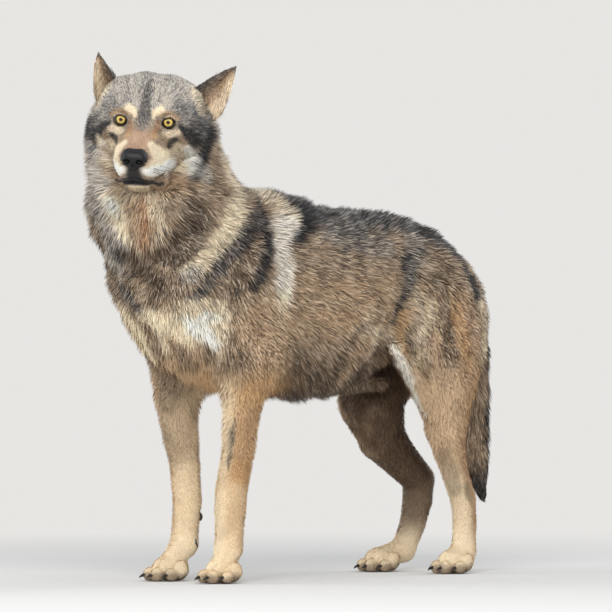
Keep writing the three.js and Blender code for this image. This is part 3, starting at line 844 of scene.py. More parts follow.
@dataclass(frozen=True)
class Band:
    """A band of pigment along a path on one view of the body.

    The path's corners are two places and a half width each, or three places and a half width. The
    band covers its strength of what lies beneath, and its tick is how strongly its hairs are banded.
    """

    pigment: Pigment
    path: tuple[tuple[float, ...], ...]
    strength: float = 0.9
    tick: float = 0.3

    def mask(self, q: Array) -> Array:
        """How far the band covers each place: full at the path, none at 1.4 half widths.

        Args:
            q: Places, with as many columns as the path's corners have places.

        Returns:
            A share for each place.
        """
        return self.strength * ramp(self.nearest(q), 1.4, 0.6)

    def nearest(self, q: Array) -> Array:
        """Distance of each place from the path, in half widths.

        Args:
            q: Places, with as many columns as the path's corners have places.

        Returns:
            A distance for each place.
        """
        corners = np.asarray(self.path, q.dtype)
        if len(corners) == 1:
            corners = np.repeat(corners, 2, 0)
        nearest = np.full(len(q), np.inf)
        for a, b in zip(corners, corners[1:], strict=False):
            along = b[:-1] - a[:-1]
            t = np.clip(((q - a[:-1]) @ along) / (along @ along + 1e-6), 0, 1)
            gap = np.sqrt(np.square(q - a[:-1] - t[:, None] * along).sum(1))
            nearest = np.minimum(nearest, gap / (a[-1] + (b[-1] - a[-1]) * t))
        return nearest


BLACK, CHARCOAL, SLATE, SILVER, UMBER, SEPIA, FAWN, TAN, OCHRE, RUST, CINNAMON, CREAM, WHITE = Pigment

# Corners on the flank and rump are y, z and half width. On the chest and legs they are x, y, z and
# half width, on the face x, f, z and half width in the head's frame.
FLANK_BANDS = (
    Band(TAN, ((90, 480, 60), (220, 480, 62), (400, 500, 50)), 0.6, 0.6),
    Band(UMBER, ((120, 350, 40), (240, 335, 38), (330, 350, 30)), 0.7, 0.6),
    Band(CHARCOAL, ((180, 306, 16), (270, 306, 16)), 0.5, 0.3),
    Band(CREAM, ((250, 440, 10), (350, 425, 16), (450, 392, 14)), 0.5, 0.5),
    Band(CHARCOAL, ((165, 692, 58), (260, 684, 62), (345, 680, 60), (400, 670, 46), (470, 644, 30),
         (556, 594, 20)), 0.75, 0.9),
    Band(CHARCOAL, ((190, 640, 18), (250, 630, 16), (290, 626, 12)), 0.6, 0.9),
    Band(SLATE, ((180, 612, 16), (253, 602, 18), (344, 596, 20)), 0.5, 1.0),
    Band(BLACK, ((190, 684, 26), (295, 670, 27), (370, 660, 24), (448, 644, 15), (507, 622, 12),
         (560, 584, 12)), 0.92, 0.5),
    Band(SLATE, ((430, 610, 24), (416, 575, 24), (408, 545, 20)), 0.65, 1.0),
    # Charcoal and black along the crease in front of the thigh: partly the coat's dark line and partly
    # painted shade in the crease.
    Band(CHARCOAL, ((406, 575, 15), (399, 535, 13), (390, 500, 9), (376, 474, 7)), 0.6, 0.8),
    Band(BLACK, ((393, 515, 6), (386, 492, 6), (376, 470, 5), (368, 452, 4)), 0.8, 0.4),
    Band(TAN, ((165, 462, 18), (206, 458, 18), (235, 463, 16)), 0.6, 0.5),
    Band(CREAM, ((270, 462, 10), (288, 448, 11), (306, 432, 12)), 0.6, 0.4),
    Band(UMBER, ((440, 538, 10), (480, 528, 11), (540, 516, 12), (580, 512, 14)), 0.5, 0.9),
    Band(UMBER, ((205, 335, 8), (226, 363, 6), (234, 413, 6), (252, 438, 6), (288, 457, 6), (325, 463, 5)),
         0.65, 0.5),
    Band(TAN, ((252, 345, 12), (262, 400, 14), (290, 425, 12)), 0.6, 0.6),
    Band(BLACK, ((190, 680, 26), (172, 664, 26), (136, 634, 20), (102, 608, 12)), 0.95, 0.2),
    Band(CREAM, ((82, 688, 20), (106, 678, 25), (112, 652, 22)), 0.8, 1.0),
    Band(WHITE, ((88, 636, 22), (54, 612, 27), (54, 577, 28), (55, 542, 26), (46, 495, 20)), 0.8, 0.4),
    Band(CREAM, ((46, 495, 20), (20, 431, 15)), 0.6, 0.4),
    Band(BLACK, ((62, 700, 13), (53, 684, 12), (32, 642, 14), (20, 600, 14), (-3, 559, 13), (-27, 512, 9)),
         0.9, 0.45),
    Band(UMBER, ((-2, 640, 18), (-18, 600, 20), (-30, 560, 20), (-60, 520, 20)), 0.4, 0.9),
    Band(CREAM, ((-44, 763, 24), (-25, 723, 25), (-21, 682, 26), (-45, 646, 24), (-76, 606, 20),
         (-114, 572, 17), (-146, 545, 14)), 0.9, 0.45),
    Band(TAN, ((0, 440, 60), (30, 400, 60)), 0.7, 0.6),
)
RUMP_BANDS = (
    Band(TAN, ((520, 450, 70), (540, 380, 60)), 0.85, 0.6),
    Band(CREAM, ((424, 496, 20), (450, 470, 24), (440, 430, 18)), 0.55, 0.8),
    Band(OCHRE, ((390, 468, 12), (392, 430, 14), (400, 395, 14)), 0.65, 0.3),
    Band(UMBER, ((486, 505, 11), (492, 455, 14), (494, 405, 13), (490, 378, 9)), 0.55, 0.95),
    Band(OCHRE, ((518, 478, 16), (528, 430, 20), (536, 385, 18)), 0.65, 0.4),
    Band(CINNAMON, ((552, 470, 14), (562, 430, 14)), 0.5, 0.5),
    Band(BLACK, ((566, 562, 13), (576, 537, 17), (590, 510, 17)), 0.85, 0.4),
    Band(CREAM, ((612, 495, 18), (620, 450, 22), (606, 400, 18)), 0.75, 0.4),
    Band(CREAM, ((430, 380, 14), (470, 320, 14)), 0.6, 0.3),
    Band(OCHRE, ((560, 300, 40), (580, 230, 30)), 0.8, 0.35),
)
CHEST_BANDS = (
    Band(UMBER, ((100, -140, 690, 26), (104, -128, 650, 30), (100, -140, 610, 28), (88, -170, 575, 24)),
         0.75, 0.9),
    Band(SILVER, ((-77, -223, 707, 40), (-72, -232, 679, 44), (-9, -244, 633, 32), (-27, -222, 564, 34)),
         0.7, 0.9),
    Band(TAN, ((50, -232, 680, 26), (58, -224, 640, 26), (56, -216, 600, 22)), 0.8, 0.6),
    Band(CREAM, ((-14, -246, 690, 22), (0, -246, 662, 25), (12, -242, 634, 21), (18, -230, 602, 13)),
         0.9, 0.4),
    Band(WHITE, ((-12, -246, 682, 14), (2, -246, 655, 16)), 0.85, 0.3),
    Band(CREAM, ((71, -218, 678, 15), (80, -207, 650, 17), (80, -196, 622, 15), (72, -196, 598, 10)),
         0.65, 0.7),
    Band(CREAM, ((-9, -246, 688, 16), (40, -238, 684, 14), (66, -225, 684, 13), (88, -200, 684, 13)),
         0.8, 0.4),
    Band(RUST, ((58, -229, 676, 7), (58, -226, 650, 7), (56, -221, 620, 8), (48, -210, 586, 9)), 0.6, 0.4),
    Band(CHARCOAL, ((-33, -237, 606, 11), (-23, -227, 582, 12), (-11, -217, 559, 11)), 0.6, 0.8),
    Band(UMBER, ((2, -211, 550, 15), (30, -201, 540, 17), (58, -186, 526, 14)), 0.7, 0.7),
    Band(SEPIA, ((-9, -224, 573, 11), (15, -218, 567, 12), (49, -203, 563, 13), (76, -184, 574, 14),
         (93, -166, 600, 16), (102, -134, 627, 15)), 0.72, 0.6),
    Band(SEPIA, ((27, -209, 553, 12), (46, -198, 543, 12), (55, -187, 521, 10), (66, -176, 503, 8)),
         0.55, 0.7),
    Band(SILVER, ((104, -137, 545, 14), (92, -155, 530, 12)), 0.5, 0.9),
    Band(UMBER, ((84, -160, 515, 14), (70, -172, 500, 14)), 0.4, 0.9),
    Band(CHARCOAL, ((101, 33, 654, 12), (124, -35, 610, 13), (122, -77, 571, 13), (117, -107, 533, 12),
         (95, -139, 490, 12)), 0.75, 0.7),
    Band(CHARCOAL, ((-30, -199, 514, 14), (-12, -195, 495, 14), (3, -187, 478, 9)), 0.75, 0.7),
    Band(TAN, ((60, -125, 420, 26), (15, -98, 367, 42), (33, -49, 343, 42)), 0.8, 0.5),
    Band(CREAM, ((-50, -172, 464, 24), (-40, -160, 443, 30), (-48, -138, 416, 30), (-52, -110, 388, 24)),
         0.95, 0.12),
    Band(CREAM, ((8, -176, 462, 20), (30, -168, 452, 24), (60, -150, 446, 24), (74, -125, 420, 18)),
         0.9, 0.2),
    Band(UMBER, ((47, -125, 404, 13), (46, -106, 382, 14), (44, -84, 366, 14)), 0.55, 0.6),
    Band(CREAM, ((78, -149, 468, 20), (102, -119, 471, 24), (116, -92, 476, 22), (106, -88, 430, 24),
         (100, -78, 392, 14)), 0.8, 0.5),
    Band(WHITE, ((86, -138, 454, 11), (102, -116, 458, 13), (116, -92, 464, 11)), 0.8, 0.4),
    Band(WHITE, ((84, -126, 440, 14), (97, -106, 432, 18), (102, -88, 410, 14), (96, -75, 386, 9)),
         0.88, 0.3),
    Band(CREAM, ((26, -178, 462, 12), (23, -155, 436, 12), (20, -134, 406, 10), (18, -120, 388, 7)),
         0.85, 0.35),
)
FACE_BANDS = (
    Band(SILVER, ((20, -60, 60, 60), (50, -90, 40, 60)), 0.85, 1.0),
    Band(SLATE, ((60, -10, 23, 16), (73, -16, 12, 20), (90, -24, -6, 20), (102, -37, -15, 16)), 0.8, 1.0),
    Band(SLATE, ((104, -100, 6, 44),), 0.6, 0.9),
    Band(CHARCOAL, ((90, -24, -12, 14), (99, -34, -32, 15)), 0.75, 0.9),
    Band(CREAM, ((80, -79, 47, 12), (91, -69, 30, 12), (98, -54, 11, 9)), 0.75, 0.6),
    Band(CREAM, ((115, -85, -9, 10),), 0.5, 0.5),
    Band(FAWN, ((68, -3, -41, 14), (67, 1, -58, 12)), 0.5, 0.7),
    Band(CREAM, ((61, 2, -46, 11), (70, 0, -60, 14), (76, 2, -78, 14)), 0.75, 0.5),
    Band(WHITE, ((80, -10, -48, 11), (89, -16, -60, 15), (96, -20, -72, 15), (99, -20, -86, 11)), 0.9, 0.4),
    Band(CHARCOAL, ((106, -30, -82, 7), (98, -12, -98, 8)), 0.55, 0.9),
    Band(SILVER, ((114, -36, -89, 10), (115, -30, -101, 10)), 0.6, 0.9),
    Band(CREAM, ((0, 60, -112, 24), (-30, 40, -118, 24)), 0.85, 0.3),
    Band(TAN, ((40, 40, -112, 14), (56, 26, -106, 13), (66, 16, -98, 12), (81, 9, -102, 12)), 0.75, 0.4),
    Band(CREAM, ((40, 4, -15, 7), (50, 2, -17, 8), (60, 0, -15, 7)), 0.75, 0.4),
    Band(CINNAMON, ((0, 48, -14, 17), (0, 95, -23, 22)), 0.85, 0.25),
    Band(CINNAMON, ((19, 58, -20, 8),), 0.6, 0.2),
    Band(SLATE, ((0, 16, 0, 12), (0, 5, 11, 13)), 0.7, 0.6),
    Band(CHARCOAL, ((0, 6, 10, 12), (0, -1, 26, 9), (0, -13, 41, 7), (0, -28, 53, 6), (0, -60, 66, 4)),
         0.62, 1.0),
    Band(UMBER, ((15, 10, 8, 3.5), (18, 5, 18, 4)), 0.7, 0.3),
    Band(OCHRE, ((24, 34, -16, 7),), 0.5, 0.2),
    Band(RUST, ((26, 5, 2, 4), (25, 8, -6, 5), (23, 22, -11, 5)), 0.6, 0.2),
    Band(CREAM, ((25, 68, -27, 8), (33, 72, -36, 12), (39, 58, -44, 13)), 0.9, 0.25),
    Band(CREAM, ((45, 33, -52, 13), (40, 54, -58, 14), (33, 84, -58, 14)), 0.85, 0.3),
    Band(WHITE, ((54, 22, -70, 13), (42, 50, -74, 13), (33, 92, -70, 13), (20, 104, -66, 8)), 0.95, 0.2),
    Band(TAN, ((30, 6, 13, 5), (38, 5, 17, 7), (48, 1, 15, 7), (58, -3, 9, 6)), 0.8, 0.3),
    Band(CREAM, ((17, 7, 12, 5), (20, 6, 19, 8), (29, 4, 25, 8)), 0.95, 0.25),
    Band(BLACK, ((48, 10, -37, 5), (51, 6, -31, 6), (57, 2, -28, 5)), 0.8, 0.35),
    Band(BLACK, ((57, 4, -1, 3), (65, -2, -6, 4.5), (74, -6, -12, 7), (86, -14, -28, 10),
         (98, -27, -42, 13), (111, -42, -57, 15)), 0.93, 0.3),
    Band(BLACK, ((112, -57, -18, 12), (117, -60, -35, 14), (111, -44, -55, 13), (106, -37, -67, 10)),
         0.9, 0.35),
    Band(BLACK, ((50, 6, -1, 2.4), (57, 3, 0, 2.6)), 0.85, 0.1),
    Band(SLATE, ((0, 110, -64, 16), (0, 104, -80, 18)), 0.5, 0.2),
    Band(BLACK, ((0, 113, -64, 10), (0, 106, -82, 14)), 0.85, 0.05),
    Band(BLACK, ((0, 92, -91, 4.5), (13, 86, -93, 4), (22, 70, -96, 3)), 0.92, 0.05),
    Band(BLACK, ((0, 97, -83, 4), (12, 93, -86, 4), (20, 86, -89, 4), (27, 61, -96, 3.8), (36, 40, -102, 3),
         (43, 35, -99, 2.2)), 0.9, 0.05),
)
# The right cheek's own bands, laid over the mirrored face: corners in the maker's axes.
FAR_CHEEK_BANDS = (
    Band(BLACK, ((-62, -242, 789, 10), (-38, -247, 783, 8)), 0.8, 0.4),
    Band(CREAM, ((-35, -245, 773, 11), (-36, -238, 755, 12), (-38, -236, 738, 14)), 0.85, 0.5),
    Band(SILVER, ((-82, -230, 757, 18), (-80, -226, 734, 18), (-72, -230, 713, 18), (-48, -240, 701, 15),
         (-19, -245, 694, 12)), 0.75, 0.9),
)
LEG_BANDS = (
    # Umber under the belly between the hind legs: partly its own colour and partly painted shade.
    Band(UMBER, ((0, 330, 338, 38), (0, 450, 336, 34)), 0.75, 0.4),
    Band(WHITE, ((101, 350, 420, 8), (101, 376, 404, 12), (88, 408, 366, 13), (72, 444, 330, 12),
         (58, 472, 306, 11), (66, 482, 285, 9)), 0.85, 0.3),
    Band(CHARCOAL, ((91, -36, 285, 3), (87, -36, 262, 6), (86, -38, 232, 7), (87, -42, 196, 3)), 0.42, 1.0),
    Band(UMBER, ((107, -49, 373, 14), (123, -41, 392, 14)), 0.4, 0.9),
    Band(TAN, ((112, -14, 290, 26), (109, -5, 230, 24)), 0.5, 0.15),
    Band(CREAM, ((98, -34, 150, 26), (94, -40, 110, 40)), 0.5, 0.08),
    Band(UMBER, ((92, 505, 215, 14), (90, 528, 175, 16), (90, 543, 148, 14)), 0.3, 0.2),
    # Umber on the outer side of the near hock: painted shade of the hollow in front of the tendon.
    Band(UMBER, ((113, 556, 165, 8), (112, 564, 140, 9), (111, 570, 120, 7)), 0.4, 0.2),
    # The far hind leg, on the wolf's right: sepia thigh and umber hock, partly their own dark brown and
    # partly painted shade.
    Band(SEPIA, ((-60, 440, 330, 60), (-45, 470, 380, 60), (-60, 500, 300, 70), (-50, 570, 190, 60)),
         0.85, 0.2),
    Band(UMBER, ((-70, 600, 140, 50), (-68, 590, 80, 44)), 0.8, 0.15),
    # Darker fawn on the far paws and the far foreleg: painted shade on the legs away from the light.
    Band(FAWN, ((-72, 530, 30, 60),), 0.7, 0.1),
    Band(FAWN, ((-66, -45, 20, 50),), 0.5, 0.1),
    Band(FAWN, ((-62, -30, 330, 50), (-62, -20, 240, 40)), 0.5, 0.1),
    # Umber inside the far upper foreleg: painted shade.
    Band(UMBER, ((-57, -59, 345, 28), (-50, -50, 312, 22)), 0.3, 0.15),
)


class Markings:
    """The wolf's colours, as bands laid one over another on each view of the body."""

    def at(self, p: Array, n: Array) -> Paint:
        """The coat's colour and banding.

        Args:
            p: Points on the coat's outline.
            n: The skin's normals under them.

        Returns:
            Their paint.
        """
        paint = Paint.ground(len(p), FAWN, 0.65)
        ragged = np.stack([ripple(p, 16, 3), ripple(p, 16, 4), ripple(p, 16, 5)], 1)
        soft = p + ragged * 5
        self._belly(paint, soft, n)
        for band in FLANK_BANDS + RUMP_BANDS:
            paint.lay(band.mask(soft[:, 1:]) * ramp(soft[:, 2], 250, 330), band.pigment, band.tick)
        self._saddle(paint, p, soft, n)
        far = ramp(-soft[:, 0], 70, 105)
        for band in CHEST_BANDS:
            mask = np.maximum(band.mask(soft), band.mask(soft * (-1, 1, 1)) * far)
            paint.lay(mask, band.pigment, band.tick)
        self._legs(paint, soft, n)
        self._tail(paint, soft, n)
        self._head(paint, p, ragged)
        for band in FAR_CHEEK_BANDS:
            paint.lay(band.mask(soft), band.pigment, band.tick)
        return paint

    @staticmethod
    def _belly(paint: Paint, p: Array, n: Array) -> None:
        """The underside between the legs, where it faces down: umber to black, partly its own colour and
        partly painted shade.
        """
        # Painted shade where the skin faces down between the legs, over the belly's own dark brown.
        under = ramp(-n[:, 2], 0.35, 0.8) * ramp(p[:, 1], 20, 90) * ramp(-p[:, 1], -640, -560)
        paint.lay(under * 0.85, SEPIA, 0.3)

    @staticmethod
    def _saddle(paint: Paint, p: Array, soft: Array, n: Array) -> None:
        """The back: charcoal where it faces up, and broken silver streaks along the top of the saddle,
        partly pale hair tips and partly a painted highlight.

        Args:
            paint: The coat's paint.
            p: Points on the outline.
            soft: The same points with ragged edges.
            n: The skin's normals.
        """
        spine = ramp(n[:, 2], 0.7, 0.95) * ramp(soft[:, 1], 120, 190) * ramp(soft[:, 2], 480, 540)
        paint.lay(spine * 0.8, CHARCOAL, 0.8)
        # Silver streaks high on the back: pale hair tips, and partly a painted highlight where the light
        # falls from above.
        streaks = ramp(ripple(p * (1, 0.3, 1), 8, 21), 0.25, 0.6) * ramp(p[:, 2], 625, 650)
        saddle = ramp(p[:, 1], 120, 190) * ramp(-p[:, 1], -560, -450)
        paint.lay(streaks * saddle * 0.6, SILVER, 0.3)

    @staticmethod
    def _legs(paint: Paint, p: Array, n: Array) -> None:
        """Legs: ochre outside and behind, cream inside and in front, pale paws with brown toe tips.

        Args:
            paint: The coat's paint.
            p: Points with ragged edges.
            n: The skin's normals.
        """
        leg = 1 - ramp(p[:, 2], 320, 410)
        fore = leg * (1 - ramp(p[:, 1], 110, 170)) * ramp(-p[:, 2], -430, -330)
        paint.lay(fore * 0.85, OCHRE, 0.12)
        inner = -n[:, 0] * np.sign(p[:, 0]) * 0.8 - n[:, 1] * 0.75
        paint.lay(fore * ramp(inner, -0.1, 0.75) * 0.8, CREAM, 0.08)
        hind = leg * ramp(p[:, 1], 380, 440)
        paint.lay(hind, TAN, 0.15)
        low = 1 - ramp(p[:, 2], 150, 230)
        paint.lay(hind * ramp(-n[:, 1], -0.3, 0.5) * (0.25 + 0.5 * low), CREAM, 0.1)
        paint.lay(hind * ramp(n[:, 1], 0.1, 0.8) * 0.6, OCHRE, 0.12)
        for band in LEG_BANDS:
            paint.lay(band.mask(p), band.pigment, band.tick)
        paw = 1 - ramp(p[:, 2], 45, 110)
        paint.lay(paw * 0.8, CREAM, 0.1)
        toes = (1 - ramp(p[:, 2], 4, 22)) * paw
        paint.lay(toes * 0.6, UMBER, 0.3)

    @staticmethod
    def _tail(paint: Paint, p: Array, n: Array) -> None:
        """Tail: brown in front, black behind and at the tip; the hocks beside it stay clear.

        Args:
            paint: The coat's paint.
            p: Points with ragged edges.
            n: The skin's normals.
        """
        tail = ramp(p[:, 1], 622, 646) * (1 - ramp(p[:, 2], 470, 520)) * ramp(-np.abs(p[:, 0]), -56, -44)
        paint.lay(tail, FAWN, 0.6)
        dark = np.maximum(ramp(n[:, 1], 0.0, 0.6), 1 - ramp(p[:, 2], 150, 215))
        paint.lay(tail * dark * 0.85, BLACK, 0.35)

    @staticmethod
    def _head(paint: Paint, p: Array, ragged: Array) -> None:
        """The head: grizzled crown, pale cheeks, masked eyes and a cinnamon bridge.

        Bands count distance forward at less than its length, so that they follow the face's slope.

        Args:
            paint: The coat's paint.
            p: Points on the outline.
            ragged: How far their edges are moved, which counts for less towards the nose.
        """
        q = HEAD.into(p)
        q = q + ragged * (0.6 + 4 * ramp(-q[:, 1], 10, 90))[:, None]
        head = ramp(HEAD.ahead(q), -128, -104) * ramp(q[:, 2] - 0.12 * q[:, 1], -132, -112)
        head *= np.square(q).sum(1) < HEAD_BALL**2
        paint.lay(head, FAWN, 0.6)
        squeeze = 0.45
        flat = folded(q) * (1, squeeze, 1)
        for band in FACE_BANDS:
            squeezed = replace(band, path=tuple((x, f * squeeze, z, w) for x, f, z, w in band.path))
            paint.lay(squeezed.mask(flat) * head, band.pigment, band.tick)

    @staticmethod
    def ear(p: Array, n: Array, ear: Ear) -> Paint:
        """An ear: rust back with dark edges, pale hair along its lower margin in front.

        Args:
            p: Points on the ear.
            n: The normals there.
            ear: Which ear.

        Returns:
            Their paint.
        """
        across, t = ear.into(p)
        across = across * ear.margin
        inside = ramp(n @ ear.axes[:, 1], -0.1, 0.3)
        paint = Paint.ground(len(p), RUST, 0.8)
        paint.lay(ramp(t, 0.5, 0.0) * 0.5, FAWN, 0.9)
        paint.lay(inside * 0.8, UMBER, 0.7)
        paint.lay(inside * ramp(across, -0.4, 0.1) * 0.7, TAN, 0.5)
        paint.lay(inside * ramp(across, 0.1, 0.6) * (1 - ramp(t, 0.7, 0.92)) * 0.65, CREAM, 0.6)
        edge = np.maximum(ramp(-across, 0.62, 0.9), ramp(t, 0.8, 0.97))
        paint.lay(edge * 0.75, CHARCOAL, 0.5)
        return paint


# ---- Lie of the coat ----


@dataclass(frozen=True)
class Lie:
    """The way the hair lies: back along the body, down legs and chest, and from the nose over the head."""

    sway: float = 0.34

    def at(self, p: Array, n: Array) -> Array:
        """Unit directions along the skin.

        Args:
            p: Points on the skin.
            n: The skin's normals there.

        Returns:
            A direction for each point, at right angles to its normal.
        """
        v = np.tile(np.array([0, 1, -0.6]), (len(p), 1))
        y, z = p[:, 1], p[:, 2]

        def turn(weight: Array, way: Point) -> None:
            """Swing the directions towards one way."""
            v[:] = v + (unit(np.array(way, float)) - v) * weight[:, None]

        turn(ramp(n[:, 2], 0.5, 0.9), (0, 1, -0.1))  # back
        turn(ramp(z, 500, 400), (0, 0.6, -0.8))  # belly
        turn((1 - ramp(y, 40, 110)) * (1 - ramp(z, 600, 700)), (0, 0.45, -0.9))  # shoulders
        turn(ramp(up_neck(p), -10, 40) * (1 - ramp(y, 0, 60)), (0, 0.72, -0.69))  # neck
        turn(ramp(-n[:, 1], 0.1, 0.7) * (1 - ramp(y, 60, 120)), (0, 0.12, -1))  # chest in front
        turn(ramp(y, 400, 470) * (1 - ramp(z, 480, 580)), (0, 0.42, -1))  # thighs
        turn(ramp(n[:, 1], 0.3, 0.8) * ramp(y, 420, 520), (0, 0.1, -1))  # rump and tail behind
        turn(1 - ramp(z, 300, 390), (0, 0.15, -1))  # legs
        turn(ramp(z, 60, 34) * ramp(n[:, 2], -0.2, 0.3), (0, -1, -0.35))  # tops of the paws
        q = HEAD.into(p)
        near = np.square(q - (0, -60, -10)).sum(1) < 200**2
        weight = ramp(HEAD.ahead(q), -128, -90) * ramp(q[:, 2], -135, -112) * near
        v += (self._head(q) - v) * weight[:, None]
        side = np.cross(n, v)
        v = v + side * (self.sway * ripple(p, 15, 11))[:, None]
        v = v + np.stack([ripple(p, 60, seed) for seed in (12, 13, 14)], 1) * 0.12
        return unit(v - n * (v * n).sum(1, keepdims=True))

    @staticmethod
    def _head(q: Array) -> Array:
        """Directions over the head: away from nose and eyes, down on the cheeks, and up the ears.

        Args:
            q: Places in the head's frame.

        Returns:
            A direction in the world for each.
        """
        away = unit(q - (0, 128, -30))
        side = ramp(np.abs(q[:, 0]), 40, 90)
        away[:, 2] -= 0.55 * side * ramp(-q[:, 1], -10, 60)
        away[:, 2] -= 0.35 * ramp(-q[:, 2], 20, 80)
        eye = q - np.stack([np.sign(q[:, 0]) * FORM.eye[0], np.full(len(q), 2.0), np.zeros(len(q))], 1)
        gap = np.sqrt(np.square(eye).sum(1))
        away += unit(eye) * (1.1 * (1 - ramp(gap, 12, 24)))[:, None]
        for ear in EARS:
            away += unit(np.subtract(ear.tip, ear.base)) * (1.6 * ear.near(q))[:, None]
        return unit(HEAD.vector(unit(away)))


# ---- Meshes and finishes ----


COLOURS = "coat"  # the colour attribute of every piece
Inputs = dict[str | int, object]  # a node's inputs by name or number: plain values, or outputs

def linear(colour: Array) -> Array:
    """Display values as light: c / 12.92 below 0.04045, else ((c + 0.055) / 1.055) to the power 2.4."""
    c = np.clip(colour, 0, 1)
    return np.where(c <= 0.04045, c / 12.92, ((c + 0.055) / 1.055) ** 2.4)


def mesh_piece(
    name: str,
    points: Array,
    faces: Array,
    finish: bpy.types.Material,
    normals: Array | None = None,
    colours: Array | None = None,
    uv: Array | None = None,
) -> bpy.types.Object:
    """A mesh object from whole arrays, moved from the maker's axes to the row frame in metres.

    Args:
        name: The piece's name.
        points: Places in millimetres, in the maker's axes.
        faces: Triangles or quads as rows of point numbers.
        finish: Its material.
        normals: Normals at the points, or None for those of the faces.
        colours: Display colours at the points, or None.
        uv: Places on the map OFBake at the points, or None.

    Returns:
        The object, linked to the scene and riding on the body.
    """
    mesh = bpy.data.meshes.new(name)
    corners = faces.shape[1]
    mesh.vertices.add(len(points))
    mesh.vertices.foreach_set("co", ((points + OFFSET) * MM).astype(np.float32).ravel())
    mesh.loops.add(faces.size)
    mesh.loops.foreach_set("vertex_index", faces.astype(np.int32).ravel())
    mesh.polygons.add(len(faces))
    mesh.polygons.foreach_set("loop_start", np.arange(0, faces.size, corners, dtype=np.int32))
    if colours is not None:
        layer = mesh.color_attributes.new(COLOURS, "FLOAT_COLOR", "POINT")
        rgba = np.ones((len(points), 4), np.float32)
        rgba[:, :3] = linear(colours)
        layer.data.foreach_set("color", rgba.ravel())
    if uv is not None:
        layer = mesh.uv_layers.new(name="OFBake")
        layer.uv.foreach_set("vector", uv[faces.ravel()].astype(np.float32).ravel())
    mesh.update(calc_edges=True)
    mesh.shade_smooth()
    if normals is not None:
        mesh.normals_split_custom_set_from_vertices(normals.astype(np.float32))
    mesh.materials.append(finish)
    piece = bpy.data.objects.new(name, mesh)
    bpy.context.scene.collection.objects.link(piece)
    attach(piece, BODY)
    LOG.info("%s: %d faces", name, len(faces))
    return piece


def feed(tree: bpy.types.NodeTree, node: bpy.types.Node, inputs: Inputs) -> None:
    """Give a node's inputs plain values, or link them to other nodes' outputs.

    Args:
        tree: The node's tree.
        node: The node.
        inputs: What goes into it.
    """
    for name, source in inputs.items():
        if isinstance(source, bpy.types.NodeSocket):
            tree.links.new(source, node.inputs[name])
        else:
            node.inputs[name].default_value = source


def add_node(tree: bpy.types.NodeTree, kind: str, inputs: Inputs, **settings: str) -> bpy.types.Node:
    """Add a node to a tree.

    Args:
        tree: The tree.
        kind: The node's kind, without the prefix of all shader nodes.
        inputs: What goes into it.
        **settings: Its settings by name.

    Returns:
        The node.
    """
    node = tree.nodes.new(f"ShaderNode{kind}")
    for name, setting in settings.items():
        setattr(node, name, setting)
    feed(tree, node, inputs)
    return node


@dataclass(frozen=True)
class Finish:
    """A painted finish: the pieces' own colours, broken up by fine noise, and a noise bump."""

    name: str
    roughness: float
    specular: float
    grain: float
    contrast: float
    bump: float
    coat: float = 0.0

    def material(self) -> bpy.types.Material:
        """Build the material.

        Returns:
            One principled shader with the colour attribute times noise, and a bump.
        """
        made = bpy.data.materials.new(self.name)
        made.use_nodes = True
        tree = made.node_tree
        colour = add_node(tree, "Attribute", {}, attribute_name=COLOURS)
        place = add_node(tree, "TexCoord", {}).outputs["Object"]
        noise = add_node(tree, "TexNoise", {"Scale": self.grain, "Detail": 3, "Vector": place})
        level = add_node(tree, "MapRange", {
            "Value": noise.outputs["Fac"], "To Min": 1 - self.contrast, "To Max": 1 + self.contrast,
        })
        mix = add_node(tree, "Mix", {
            "Factor": 1, "A": colour.outputs["Color"], "B": level.outputs["Result"],
        }, data_type="RGBA", blend_type="MULTIPLY")
        shader = tree.nodes["Principled BSDF"]
        feed(tree, shader, {
            "Base Color": mix.outputs["Result"], "Roughness": self.roughness,
            "Specular IOR Level": self.specular, "Coat Weight": self.coat, "Coat Roughness": 0.03,
        })
        if self.bump:
            bump = add_node(tree, "Bump", {
                "Strength": self.bump, "Distance": 0.0006, "Height": noise.outputs["Fac"],
            })
            feed(tree, shader, {"Normal": bump.outputs["Normal"]})
        return made


# ---- Skin and coat ----


FLESH = (
    "head", "face", "muzzle", "lower_jaw", "ear_left", "ear_right", "neck", "chest", "loin", "rump",
    "tail_root", "tail_tip",
    *(f"{part}_fore_{side}" for part in ("elbow", "forearm", "pastern", "paw") for side in SIDES),
    *(f"{part}_hind_{side}" for part in ("thigh", "shank", "hock", "paw") for side in SIDES),
)


def spaced(*spans: tuple[float, float, float]) -> Array:
    """Places along spans, each cut into equal steps.

    Args:
        *spans: For each span its low end, its high end, and about how long a step is.

    Returns:
        All the places, low to high.
    """
    places = [np.array([spans[0][0]])]
    for low, high, step in spans:
        places.append(np.linspace(low, high, max(2, round((high - low) / step) + 1))[1:])
    return np.concatenate(places)


